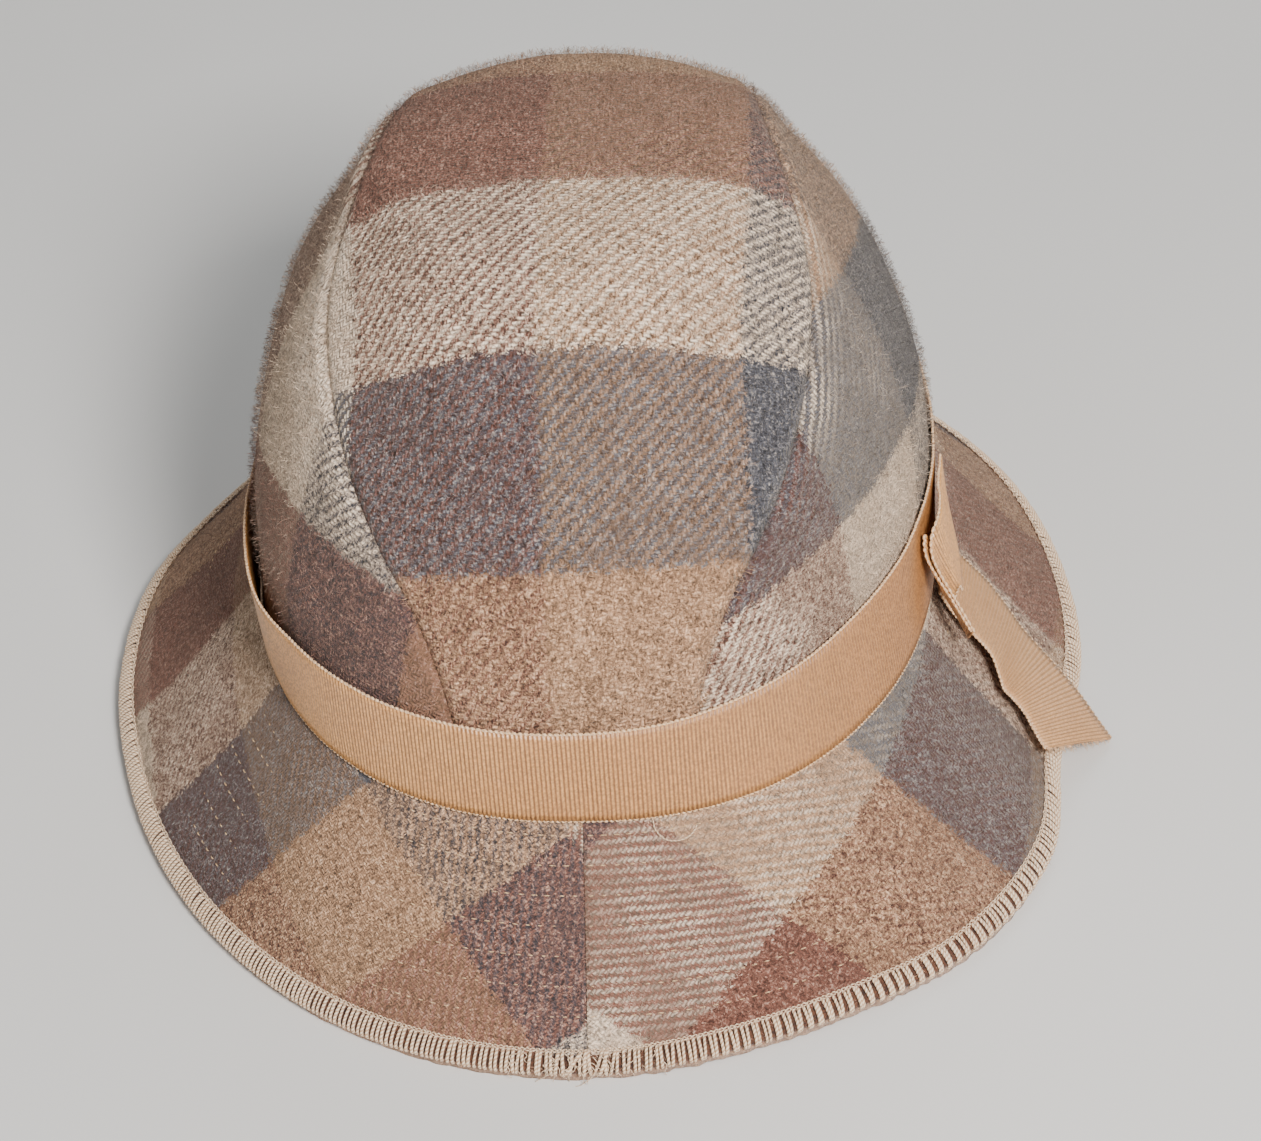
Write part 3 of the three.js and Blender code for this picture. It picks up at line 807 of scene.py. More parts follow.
@dataclass(frozen=True)
class WoolFinish(Finish):
    """Napped plaid wool: nap hides the weave, cover hides the pale dashes, streak tells loose fibres apart."""

    nap: float = 0.5
    bloom: float = 0.0
    cover: float = 1.15
    streak: float = 0.0
    relief: float = 0.0005

    def surface(self, t: Tree) -> dict[str, object]:
        """What goes into the shader, by input."""
        spot, (row, column) = t.spot(), t.cloth()
        haze = FibreHaze.use(t, {"Place": spot})
        speckle, cloud = haze["Speckle"] - 0.5, haze["Cloud"] - 0.5
        drift = t.noise(spot, 420.0, 1.0, 0.6) - 0.5
        wander = drift * 0.09 + speckle * 0.045
        plaid = BlockPlaid.use(t, {"Row": row + wander, "Column": column - wander})
        twill = TwillWeave.use(t, {"Row": row + cloud * 0.05, "Column": column + drift * 0.035})
        shows, row_pale, column_pale = twill["Row Shows"], plaid["Row Pale"], plaid["Column Pale"]
        # Where the nap is worn off, the weave shows.
        worn = t.value("ShaderNodeAttribute", key="Fac", attribute_name=WEAR)
        nap = ((0.5 - worn) * 1.3 + self.nap + cloud * 1.6).held().to("MAXIMUM", 0.15)
        clear = 1.0 - nap
        crisp = clear * (row_pale.to("MAXIMUM", column_pale) * 0.24 + 0.69)
        felt = (shows - 0.5) * crisp + 0.6 + (column_pale - row_pale) * nap * 0.25
        woven = t.mix((speckle * 0.8 + felt).held(), plaid["Column Colour"], plaid["Row Colour"])
        grain = t.ramp(haze["Speckle"],
                       [(0.0, (0.10, 0.09, 0.10)), (0.5, (0.80, 0.78, 0.77)), (1.0, (1.68, 1.68, 1.68))])
        base = t.mix(clear * 0.35 + 0.62, woven, grain, "MULTIPLY")
        base = t.mix((haze["Speckle"] - 0.70).held() * 1.1 + self.bloom, base, rgb("DCC9B2"))
        # The pale yarn's dashes catch the light.
        dash = (shows * row_pale + (1.0 - shows) * column_pale) * twill["Height"].to("POWER", 1.4)
        patchy = (haze["Speckle"] * 1.1 + drift * 2.5 + 0.25).held()
        base = t.mix((dash * patchy * (nap * -self.cover + 1.1)).held(), base, rgb("FAE9D4"))
        if self.streak:
            strand = t.noise(t.value("ShaderNodeUVMap", uv_map=BAKE_MAP), 260.0, 0.0)
            tones = t.ramp(strand, [(0.32, (0.30, 0.28, 0.28)), (0.48, (0.9, 0.9, 0.9)), (0.60, (1.7, 1.68, 1.66))])
            base = t.mix(self.streak, base, tones, "MULTIPLY")
        # Painted shade: the weave's low yarns are darkened, the more where the nap is thin.
        base = t.mix(1.0, base, twill["Height"] * (clear * 0.5) + 0.8, "MULTIPLY")
        height = twill["Height"] + haze["Height"] * 0.9
        return {"Base Color": base, "Roughness": haze["Speckle"] * 0.15 + 0.82, "Specular IOR Level": 0.2,
                "Normal": t.bump(height, 0.75, self.relief),
                "Sheen Weight": 0.25, "Sheen Roughness": 0.5, "Sheen Tint": rgb("D8CBB8")}


@dataclass(frozen=True)
class RibbonFinish(Finish):
    """Grosgrain with a satin shine."""

    colour: str = "74421A"
    pale: str = "D0975A"
    pitch: float = 1.02
    width: float = 24.0
    shine: float = 0.27
    glint: float = 0.75

    def surface(self, t: Tree) -> dict[str, object]:
        """What goes into the shader, by input."""
        spot, (along, across) = t.spot(), t.cloth()
        ribs = GrosgrainRibs.use(t, {"Along": along, "Across": across, "Pitch": self.pitch, "Width": self.width})
        # Painted shade and highlight: the valleys between the cords are painted dark and their crests pale, and the
        # fine yarns are painted paler still as a highlight.
        base = t.mix(ribs["Valley"] * 0.85, rgb(self.pale), rgb(self.colour))
        base = t.mix(ribs["Yarn"] * 0.18, base, rgb(self.pale, 1.1))
        stain = ((t.noise(spot, 70.0, 3.0, 0.6) - 0.45).held() * 1.2).held()
        base = t.mix(stain, base, rgb("B67C48"))
        base = t.mix(t.mask(t.noise(spot, 190.0, 1.0, 0.4), 0.72, 0.76) * 0.05, base, rgb("EBC79B"))
        # Painted glints: fine specks raise the colour as painted highlight and lower it as painted shade over the
        # ribs.
        tones = [(0.36, (0.70, 0.66, 0.62)), (0.50, (1, 1, 1)), (0.66, (1.35, 1.38, 1.42))]
        base = t.mix(self.glint, base, t.ramp(t.noise(spot, 1500.0, 1.0, 0.6), tones), "MULTIPLY")
        return {"Base Color": base, "Roughness": ribs["Valley"] * 0.25 + self.shine, "Specular IOR Level": 1.0,
                "Normal": t.bump(ribs["Height"], 0.5, 0.00012)}


@dataclass(frozen=True)
class ThreadFinish(Finish):
    """Spun thread with a visible twist."""

    colour: str = "BF936A"
    pale: str = "F7E3C6"
    twist: float = 0.9
    dirt: float = 0.4

    def surface(self, t: Tree) -> dict[str, object]:
        """What goes into the shader, by input."""
        along, around = t.cloth()
        ply = (along / self.twist + around * 2.0).wave() * 0.5 + 0.5
        stain = t.noise(t.spot(), 90.0, 3.0, 0.6)
        # Painted shade and highlight: the twist's grooves take the darker colour and its crowns the paler one.
        base = t.mix(ply, rgb(self.colour), rgb(self.pale))
        base = t.mix(((stain - 0.5).held() * (2.5 * self.dirt)).held(), base, rgb("A8743F"))
        return {"Base Color": base, "Roughness": stain * 0.25 + 0.42, "Sheen Weight": 0.2,
                "Normal": t.bump(ply, 0.6, 0.00012)}


@dataclass(frozen=True)
class CutEdgeFinish(Finish):
    """The raw wool that shows between the wraps of the overcast edge: dark under them, where shade is painted, and
    light at the rim.
    """

    name: str = "Raw wool edge"

    def surface(self, t: Tree) -> dict[str, object]:
        """What goes into the shader, by input."""
        haze = FibreHaze.use(t, {"Place": t.spot()})
        # Painted shade: the wool under the wraps takes the dark colours, and the rim takes the light ones.
        deep = t.mix(haze["Speckle"], rgb("301A12"), rgb("6E4630"))
        light = t.mix(haze["Speckle"], rgb("8F664C"), rgb("CDA584"))
        base = t.mix(t.mask(t.cloth()[1] / 14.0, 0.42, 0.56), deep, light)
        return {"Base Color": base, "Roughness": haze["Speckle"] * 0.15 + 0.8, "Sheen Weight": 0.2,
                "Normal": t.bump(haze["Height"], 0.8, 0.0003)}


@dataclass(frozen=True)
class FloorFinish(Finish):
    """Plain pale floor."""

    name: str = "Pale floor"

    def surface(self, t: Tree) -> dict[str, object]:
        """What goes into the shader, by input."""
        base = t.mix(t.noise(t.spot(), 6.0), rgb("D9D8D5"), rgb("E0DFDC"))
        return {"Base Color": base, "Roughness": 0.8, "Specular IOR Level": 0.2}


class Side(Enum):
    """The two halves of the hat: the wearer's left has +X."""

    LEFT = 1
    RIGHT = -1


@dataclass
class Panel:
    """A dressed piece of cloth that fibres can grow on: its grid and its place on the plaid."""

    points: np.ndarray
    cloth: np.ndarray


@dataclass
class Crown:
    """The crown's three panels, each with its own lie of the plaid."""

    form: HatForm
    finish: bpy.types.Material
    step: float = 1.15
    centre_length: float = 344
    side_length: float = 330
    centre_columns: int = 92
    side_columns: int = 76
    seam_roll: float = 1.0
    roll_width: float = 1.3
    welt: float = 0.25
    seam_gap: float = 0.06
    unevenness: float = 0.22
    middle_over: float = 60.0
    middle_side: float = 55.0
    mean_radius: float = 96.0
    seam_radius: float = 105.0
    centre_lay: ClothLay = ClothLay(-1.61, 1.60, 49.46, 46.24, 0.734, 1.108)
    left_lay: ClothLay = ClothLay(320.28, -0.25, 38.51, -44.79, 2.997, 3.129)
    right_lay: ClothLay = ClothLay(136.19, 0.12, -45.02, -38.48, 4.015, 3.891)

    def __post_init__(self) -> None:
        """Picks the unevenness of the cloth."""
        self.ripple = Ripple(7, 60, 9)

    def _dress(self, ways: np.ndarray, from_seam: np.ndarray) -> np.ndarray:
        """Outer points with the rolled seams and the soft unevenness.

        Args:
            ways: directions from the middle of the join.
            from_seam: distance to the seam in millimetres.

        Returns:
            Points in millimetres.
        """
        outer = self.form.crown(ways)
        bump = self.unevenness * self.ripple(outer)
        roll = self.seam_roll * bell(from_seam / self.roll_width) - self.welt * bell((from_seam - 3.6) / 2.0)
        return outer + ways * (bump - roll)[..., None]

    def _centre_arc(self) -> tuple[np.ndarray, np.ndarray, np.ndarray]:
        """Angle, length and radius along the middle of the centre panel."""
        over = np.linspace(0, 180, 361)
        line = self.form.crown(self.form.direction(over, 0 * over))
        return over, lengths(line), np.linalg.norm(line - np.array([0, 0, self.form.join_height]), axis=1)

    def _side_flat(self, ways: np.ndarray, sign: int) -> tuple[np.ndarray, np.ndarray]:
        """Places on the flat side panel, measured from its middle."""
        middle = self.form.direction(self.middle_over, self.middle_side * sign)
        first = self.form.direction(self.middle_over, (self.middle_side + 90) * sign)
        first = unit(first - middle * (first @ middle))
        second = np.cross(middle, first) * sign
        angle = np.arccos(np.clip(ways @ middle, -1, 1))
        flat = unit(np.stack([ways @ first, ways @ second], -1)) * (angle * self.mean_radius)[..., None]
        return flat[..., 0], flat[..., 1]

    def _shell(self, name: str, node: str, ways: np.ndarray, from_seam: np.ndarray, cloth: np.ndarray, flip: bool,
               wear: np.ndarray) -> Panel:
        """Makes one panel with its lining side.

        Args:
            name: the piece's name.
            node: the frame's node that it replaces.
            ways: grid of directions.
            from_seam: distance to the seam at each point.
            cloth: stripes at each point.
            flip: whether the outer faces are turned over.
            wear: how far the nap is worn off at each point.

        Returns:
            The panel's outer grid.
        """
        skin = Skin(self.form)
        outer = self._dress(ways, from_seam)
        skin.grid(outer, cloth, (0, 0, 0.7, 1), flip, wear)
        sparse = np.ix_(*(np.unique(np.append(np.arange(0, size, 4), size - 1)) for size in ways.shape[:2]))
        skin.grid(self.form.crown(ways[sparse], self.form.crown_wall), cloth[sparse], (0.72, 0, 0.98, 1), not flip)
        edge_in = self.form.crown(ways[:, [0, -1]], self.form.crown_wall)
        for c, turned in ((0, not flip), (-1, flip)):
            skin.strip(outer[:, c], edge_in[:, c], cloth[:, c], (0.985, 0, 0.999, 1), turned)
        skin.build(name, self.finish, (node,), "wool")
        return Panel(outer, cloth)

    def centre(self) -> Panel:
        """The strip from the front over the top to the back."""
        over = np.linspace(0, 180, int(self.centre_length / self.step))
        share = np.linspace(1, -1, self.centre_columns)
        half = self.form.seam(over) - self.seam_gap
        side = half[:, None] * share[None]
        ways = self.form.direction(over[:, None], side)
        arc = self._centre_arc()
        length, radius = np.interp(over, arc[0], arc[1]), np.interp(over, arc[0], arc[2])
        cloth = self.centre_lay.stripes(length[:, None] + 0 * side, np.radians(side) * radius[:, None])
        away = np.radians(half[:, None] - np.abs(side)) * radius[:, None]
        # The front of the strip is worn more than its back.
        wear = 0.25 + 0.5 * ease((102 - over) / 14)[:, None] + 0 * side
        return self._shell("crown_centre_wool", "crown_centre", ways, away, cloth, False, wear)

    def side_panel(self, side: Side) -> Panel:
        """A side of the crown, between the join and its seam."""
        sign = side.value
        over = np.linspace(0, 180, int(self.side_length / self.step))
        half = self.form.seam(over) + self.seam_gap
        top = self.form.direction(over, half)
        share = over / 180
        first, last = SEAM_HALF[0] + self.seam_gap, SEAM_HALF[-1] + self.seam_gap
        turn = np.radians((-90 + first) * (1 - share) + (90 - last) * share)
        foot = np.stack([np.cos(turn), np.sin(turn), 0 * turn], -1)
        climb = np.linspace(0, 1, self.side_columns)[None, :, None]
        ways = unit(foot[:, None] * (1 - climb) + top[:, None] * climb)
        away = np.arccos(np.clip((ways * top[:, None]).sum(-1), -1, 1)) * self.seam_radius
        ways = ways * np.array([sign, 1, 1])
        lay = self.left_lay if sign > 0 else self.right_lay
        cloth = lay.stripes(*self._side_flat(ways, sign))
        if sign < 0:
            # One stripe of this panel is wider than the others.
            cloth[..., 0] += 0.62 * bell((cloth[..., 0] - 2.45) / 0.55)
        word = side.name.lower()
        # The cloth is worn beside the seam and, on the left, low at the front.
        strength, reach = (0.45, 8) if sign > 0 else (0.8, 13)
        wear = 0.12 + strength * bell(away / reach) * ease((over - 34) / 8)[:, None]
        wear += 0.5 * ease((38 - over) / 10)[:, None] * (sign > 0)
        return self._shell(f"crown_{word}_wool", f"crown_{word}", ways, away, cloth, sign < 0, np.clip(wear, 0, 1))

    def build(self) -> list[Panel]:
        """Makes the three panels."""
        return [self.centre(), self.side_panel(Side.LEFT), self.side_panel(Side.RIGHT)]


@dataclass
class Brim:
    """The two quilted halves of the brim."""

    form: HatForm
    finish: bpy.types.Material
    rows_at: tuple = (3.6, 10.4, 17.2, 24.0, 30.8, 37.6, 44.4)
    row_gap: float = 6.8
    groove: float = 0.2
    groove_width: float = 0.9
    puff: float = 0.12
    around: int = 372
    out: int = 52
    under: int = 22
    seam_gap: float = 0.04
    seam_dip: float = 0.75
    seam_width: float = 0.8
    unevenness: float = 0.35
    flat_radius: float = 147.08
    flat_reach: float = 60.5
    left_lay: ClothLay = ClothLay(221.63, -0.54, -45.99, 43.14, 0.739, 3.330, True)
    right_lay: ClothLay = ClothLay(-52.84, -2.43, 38.56, -36.21, 4.059, 5.429)

    def __post_init__(self) -> None:
        """Measures round the join and picks the unevenness."""
        self.ripple = Ripple(19, 70, 12)
        self.round = np.linspace(-90, 270, 3601)
        x, y = self.form.oblong(self.round, self.form.half_width, self.form.half_depth)
        self.length = lengths(np.stack([x, y], -1))

    def relief(self, angle: np.ndarray, share: np.ndarray) -> np.ndarray:
        """Height of the quilted wool off the plain brim, in millimetres."""
        length = self.form.brim_frame(angle)[3]
        down = share * length
        dip = sum(bell((down - row) / self.groove_width) for row in self.rows_at)
        puff = self.puff * np.cos(2 * math.pi * (down - self.rows_at[0]) / self.row_gap + math.pi)
        inside = ease((down - 1) / 3) * ease((50 - down) / 4)
        return -self.groove * dip - puff * inside

    def half(self, side: Side) -> Panel:
        """One half, from the middle of the front to the middle of the back."""
        sign = side.value
        turn = np.linspace(self.seam_gap, 180 - self.seam_gap, self.around)
        angle = -90 + turn if sign > 0 else 270 - turn
        a, s = np.meshgrid(angle, np.linspace(0, 1, self.out), indexing="ij")
        lift = self.relief(a, s)
        top = self.form.brim(a, s, lift)
        lift = lift + self.unevenness * self.ripple(top) * ease(s * 4) * ease((1 - s) * 5)
        # A degree is longer at the brim's edge than at its join.
        from_seam = np.minimum(turn, 180 - turn)[:, None] * math.pi / 180 * (110 + 40 * s)
        lift = lift - self.seam_dip * bell(from_seam / self.seam_width)
        top = self.form.brim(a, s, lift)
        length = np.interp(turn, self.round + 90, self.length)[:, None] / self.flat_radius
        rho = self.flat_radius + s * self.flat_reach
        lay = self.left_lay if sign > 0 else self.right_lay
        cloth = lay.stripes(rho * np.sin(length), rho * np.cos(length))
        low = np.concatenate([[1.0], np.linspace(1, 0, self.under)])
        under = self.form.brim(angle[:, None], low[None], -self.form.brim_thick)
        low_rho = self.flat_radius + low * self.flat_reach
        under_cloth = lay.stripes(low_rho * np.sin(length), low_rho * np.cos(length))
        skin = Skin(self.form)
        wear = 0.22 + (0.2 if sign > 0 else 0.33) * ease((62 - turn) / 30)[:, None] + 0 * s
        skin.grid(top, cloth, (0, 0, 0.66, 1), sign > 0, wear)
        skin.strip(top[:, -1], under[:, 0], cloth[:, -1], (0.665, 0, 0.68, 1), sign > 0)
        skin.grid(under[:, 1:], under_cloth[:, 1:], (0.69, 0, 0.97, 1), sign > 0)
        skin.strip(under[:, -1], top[:, 0], cloth[:, 0], (0.975, 0, 0.99, 1), sign > 0)
        word = side.name.lower()
        skin.build(f"brim_{word}_wool", self.finish, (f"brim_{word}",), "wool")
        return Panel(top, cloth)

    def build(self) -> list[Panel]:
        """Makes both halves."""
        return [self.half(Side.LEFT), self.half(Side.RIGHT)]


@dataclass
class Nap:
    """Loose fibres that stand off the wool and soften its outline."""

    form: HatForm
    finish: bpy.types.Material
    count: int
    longest: float = 4.0
    rise: float = 1.9
    breadth: float = 0.07
    curl: float = 0.35
    seed: int = 3

    def _bare(self, points: np.ndarray) -> np.ndarray:
        """Whether points of the crown lie under the band."""
        up = self.form.band_rise + self.form.band_width + 0.4
        rise = (self.form.rise_back * points[..., 1] + self.form.rise_side * points[..., 0]) * 0.78
        return points[..., 2] < self.form.join_height + up + rise

    def _ground(self, panels: list[Panel], banded: bool) -> list[np.ndarray]:
        """The cells of the cloth that fibres can grow on.

        Args:
            panels: the cloth.
            banded: whether none grow under the band.

        Returns:
            For each cell its corner and two sides, the direction off it, its place on the plaid and its area.
        """
        cells = []
        for panel in panels:
            points = panel.points
            corner = points[:-1, :-1]
            right, down = points[:-1, 1:] - corner, points[1:, :-1] - corner
            cross = np.cross(right, down)
            normal = unit(cross).reshape(-1, 3)
            middle = points.reshape(-1, 3).mean(0) * np.array([0.2, 0.2, 0.4])
            outward = ((corner.reshape(-1, 3) - middle) * normal).sum(-1)
            free = 1.0 - self._bare(corner) if banded else 1.0
            cells.append((np.stack([corner, right, down], -2).reshape(-1, 3, 3),
                          normal * np.where(outward < 0, -1, 1)[:, None],
                          panel.cloth[:-1, :-1].reshape(-1, 2),
                          (np.linalg.norm(cross, axis=-1) * free).ravel()))
        return [np.concatenate(part) for part in zip(*cells)]

    def build(self, name: str, panels: list[Panel], banded: bool = False) -> bpy.types.Object:
        """Grows the fibres.

        Args:
            name: the piece's name.
            panels: the cloth that they grow on.
            banded: whether none grow under the band.

        Returns:
            The object.
        """
        draw = np.random.default_rng(self.seed)
        spots, norms, cloths, areas = self._ground(panels, banded)
        pick = draw.choice(len(areas), self.count, p=areas / areas.sum())
        inside = draw.uniform(0, 1, (2, self.count, 1))
        root = spots[pick, 0] + spots[pick, 1] * inside[0] + spots[pick, 2] * inside[1]
        normal = norms[pick]
        lie = draw.normal(size=(self.count, 3))
        lie = unit(lie - normal * (lie * normal).sum(-1, keepdims=True))
        turn = unit(np.cross(normal, lie))
        length = self.longest * draw.uniform(0.35, 1, (self.count, 1))
        rise = self.rise * draw.uniform(0.15, 1, (self.count, 1)) ** 1.5
        bend = draw.normal(0, self.curl, (self.count, 1))
        middle = root + lie * length * 0.45 + normal * rise + turn * bend * length * 0.2
        lifted = normal * rise * draw.uniform(0.3, 1.6, (self.count, 1))
        tip = root + lie * length + lifted + turn * bend * length * 0.7
        half = turn * self.breadth * draw.uniform(0.5, 1, (self.count, 1))
        points = np.stack([root, middle - half, tip, middle + half], 1)
        quads = np.arange(self.count * 4).reshape(-1, 4)
        cloth = np.repeat(cloths[pick][:, None], 4, 1)
        # Each fibre is a diamond with a cell of its own on the bake map.
        across = math.ceil(math.sqrt(self.count))
        cell = np.stack(np.divmod(np.arange(self.count), across)[::-1], -1)[:, None] / across
        corner = np.array([[0.3, 0], [0, 0.4], [0.3, 0.8], [0.6, 0.4]]) / across
        skin = Skin(self.form)
        skin.add(points, quads, cloth, cell + corner[None])
        return skin.build(name, self.finish, (), "wool", weld=False)


@dataclass
class OvercastEdge:
    """The overcast thread over the brim's edge, wrap by wrap, on the raw wool that shows between."""

    form: HatForm
    thread: bpy.types.Material
    raw: bpy.types.Material
    wraps: int = 604
    strand: float = 0.41
    fuzz: float = 0.22
    # Distance past the cut edge and lift off the upper face, from the chain on top round to the underside.
    route: tuple = ((-4.5, 0.25), (-4.1, 0.8), (-3.2, 1.05), (-2.1, 1.15), (-1.0, 1.1), (-0.1, 0.85), (0.55, 0.25),
                    (0.75, -0.5), (0.6, -1.4), (0.3, -2.5), (-0.3, -3.3), (-1.6, -3.85), (-3.2, -3.9), (-4.6, -3.7))

    def _points(self, angle: np.ndarray, out: np.ndarray, lift: np.ndarray) -> np.ndarray:
        """Points by distance past the edge and lift, kept off the table."""
        frame = self.form.brim_frame(angle)
        p = self.form.brim(angle, 1 + out / frame[3], lift)
        floor = frame[4] + 0.05 + self.strand
        p[..., 2] = np.where(p[..., 2] < floor, floor, p[..., 2])
        return p

    def _core(self) -> None:
        """The raw edge under the wraps."""
        angle = np.linspace(-90, 270, 1441)
        route = np.array(self.route)
        out, lift = route.T
        # Under the wraps the wool lies lower than they do; at the rim it bulges out between them.
        rim = (lift < -0.9) & (out > -1.5)
        out = np.where(rim, out + np.where(lift > -2, 0.95, 1.05), np.where(out > 0, out - 0.4, out))
        lift = np.where(lift > -1.5, lift - 0.5, lift + 0.4)
        lift[0] = 0.02
        grid = self._points(angle[:, None], out[None], lift[None])
        fuzz = Ripple(41, 6, 1.2, 24)(grid) * self.fuzz * rim[None]
        middle = self.form.brim(angle[:, None], np.full((1, len(out)), 0.97), -1.5)
        grid = grid + unit(grid - middle) * fuzz[..., None]
        grid[..., 2] = np.maximum(grid[..., 2] - self.strand, 0.06)
        cloth = together(angle[:, None] * 2.3, np.arange(len(out))[None])
        skin = Skin(self.form)
        skin.grid(grid, cloth, (0, 0, 1, 1), False)
        skin.build("edge_raw_wool", self.raw, ("edge_overlock",), "thread")

    def _wraps(self) -> None:
        """The wraps, each of two strands, and the chain along their inner end."""
        draw = np.random.default_rng(11)
        skin = Skin(self.form)
        k = self.wraps
        pitch = TURN / k
        place = -90 + (np.arange(k) + 0.5) * pitch
        # The sewing starts and ends at the front; beside it the wraps lie in pairs.
        front = bell((np.mod(place + 91.5 + 180, TURN) - 180) / 4.0)
        paired = bell((np.mod(place + 55 + 180, TURN) - 180) / 26.0)
        start = place + draw.normal(0, 0.05, k) * pitch * (1 + 5 * front)
        start += 0.2 * paired * pitch * np.where(np.arange(k) % 2, -1, 1)
        route = np.array(self.route)
        slant = draw.normal(0.1, 0.12, k) * pitch * (1 + 5 * front)
        run = np.linspace(0, 1, len(route))
        inner = draw.normal(0, 0.1, (k, 1)) * (route[None, :, 0] < -3.5)
        lift = route[None, :, 1] + draw.normal(0, 0.03, (k, 1)) + 0.2 * front[:, None] * (route[None, :, 1] > 0)
        fan = 0.12 * paired * pitch * np.where(np.arange(k) % 2, 1, -1)
        angle = start[:, None] + slant[:, None] * (1 - 3 * run[None]) + fan[:, None] * (1 - 4 * run[None])
        paths = self._points(angle, route[None, :, 0] + inner, lift)
        normal = unit(paths - self.form.brim(angle, 1 - 1.5 / 60 + 0 * lift, -1.4 + 0 * lift))
        thick = self.strand * (1 + draw.normal(0, 0.07, (k, 1))) * np.where((run < 0.02) | (run > 0.98), 0.5, 1)[None]
        skin.strands(paths, normal, thick, thick, 5, area=(0, 0, 1, 0.98))
        turn = np.linspace(0, TURN, k * 4 + 1) - 90
        for s in (-1, 1):
            wave = np.sin(np.radians(turn) * k / 2 + s * math.pi / 2)
            line = self._points(turn, -4.65 + 0.34 * wave, 0.5 + 0.2 * np.cos(np.radians(turn) * k + s))
            off = self.form.brim_frame(turn)[2]
            skin.strands(line[None], off[None], np.array([0.17]), np.array([0.16]), 5, area=(0, 0.985, 1, 0.999))
        skin.build("edge_wraps", self.thread, (), "thread")

    def build(self) -> None:
        """Makes the raw edge and the thread."""
        self._core()
        self._wraps()


@dataclass
class QuiltStitches:
    """Rows of stitching round the brim, a dash for each stitch."""

    form: HatForm
    finish: bpy.types.Material
    brim: Brim
    stitch: float = 3.1
    visible: float = 0.42
    radius: float = 0.15

    def build(self) -> None:
        """Makes the dashes."""
        draw = np.random.default_rng(23)
        paths, normals = [], []
        for row in self.brim.rows_at:
            fine = np.linspace(-90, 270, 2881)
            length = self.form.brim_frame(fine)[3]
            line = self.form.brim(fine, row / length, 0 * fine)
            run = lengths(line)
            count = int(run[-1] / self.stitch)
            middle = (np.arange(count) + 0.5 + draw.normal(0, 0.06, count)) * self.stitch
            front = np.abs(np.mod(np.interp(middle, run, fine) + 90 + 180, 360) - 180)
            share = np.linspace(-0.5, 0.5, 5)
            at = np.interp(middle[:, None] + share[None] * self.stitch * self.visible, run, fine)
            shares = row / self.form.brim_frame(at)[3]
            bow = 0.30 * np.cos(share * math.pi)[None] - 0.12 - 0.5 * ease((front[:, None] - 24) / 26)
            sink = self.brim.relief(at, shares)
            paths.append(self.form.brim(at, shares, sink + bow + 0.1))
            normals.append(self.form.brim_frame(at)[2])
        skin = Skin(self.form)
        thick = self.radius * np.array([0.5, 1, 1, 1, 0.5])[None]
        skin.strands(np.concatenate(paths), np.concatenate(normals), thick, thick, 4)
        skin.build("brim_stitches", self.finish, (), "thread")


@dataclass
class Ribbon:
    """Grosgrain ribbon: cords across its width and a beaded edge along each side."""

    form: HatForm
    pitch: float = 1.02
    thick: float = 0.5
    cord: float = 0.15
    bead: float = 0.36
    bead_pitch: float = 1.36

    def lay(self, skin: Skin, beads: Skin, points: np.ndarray, normals: np.ndarray, run: np.ndarray,
            closed: bool = False) -> None:
        """Adds a ribbon.

        Args:
            skin: where the woven part goes.
            beads: where the beads of its edges go.
            points: rows along its length by columns across its width.
            normals: direction of its face at each point.
            run: length at each row.
            closed: whether it ends where it starts.
        """
        half = (self.thick / 2 + self.cord * np.cos(2 * math.pi * run / self.pitch))[:, None, None]
        face, back = points + normals * half, points - normals * half
        cloth = together(run[:, None], np.linspace(0, 1, points.shape[1])[None])
        skin.grid(face, cloth, (0, 0, 0.45, 0.95))
        skin.grid(back, cloth, (0.5, 0, 0.95, 0.95), True)
        for c, flip in ((0, True), (-1, False)):
            skin.strip(face[:, c], back[:, c], cloth[:, c], (0.955, 0, 0.965, 0.95), flip)
        if not closed:
            for r, flip in ((0, False), (-1, True)):
                skin.strip(face[r], back[r], cloth[r], (0.97, 0, 0.98, 0.95), flip)
        for c in (0, -1):
            count = int(round(run[-1] / self.bead_pitch))
            at = (np.arange(count) + (0.0 if closed else 0.5)) * run[-1] / count
            place = np.clip(at[:, None] + BEAD_ALONG * self.bead_pitch, 0, run[-1])
            outward = unit(points[:, c] - points[:, 1 if c == 0 else -2])
            line, aside, normal = (along_line(place, run, v) for v in (points[:, c], outward, normals[:, c]))
            line = line + aside * (0.06 + 0.2 * BEAD_OUT[None, :, None])
            size = self.bead * BEAD_SIZE[None]
            beads.strands(line, normal, size, size * 0.95, 6, area=(0, -0.5 * c, 1, 0.48 - 0.5 * c))


@dataclass
class Band:
    """The ribbon round the crown."""

    form: HatForm
    ribbon: Ribbon
    face: bpy.types.Material
    beads: bpy.types.Material

    def build(self) -> None:
        """Makes the band."""
        ripple = Ripple(31, 45, 14)
        fine = np.linspace(0, TURN, 1441)
        line = self.form.band(fine, 0.5, -self.form.band_thick / 2)
        run = lengths(line)
        count = round(run[-1] / self.ribbon.pitch)
        scale = count * self.ribbon.pitch / run[-1]
        place = np.linspace(0, run[-1], count * 4 + 1)
        angle = np.interp(place, run, fine)
        share = np.linspace(0, 1, 13)
        off = np.full((len(angle), len(share)), -self.form.band_thick / 2)
        off += 0.12 * ripple(self.form.band(angle[:, None], share[None], 0))
        points = self.form.band(angle[:, None], share[None], off)
        normals = unit(np.cross(unit(np.gradient(points, axis=0)), unit(np.gradient(points, axis=1))))
        skin, beads = Skin(self.form), Skin(self.form)
        self.ribbon.lay(skin, beads, points, normals, place * scale, True)
        skin.build("band_grosgrain", self.face, ("ribbon_band",), "grosgrain")
        beads.build("band_beads", self.beads, (), "grosgrain")


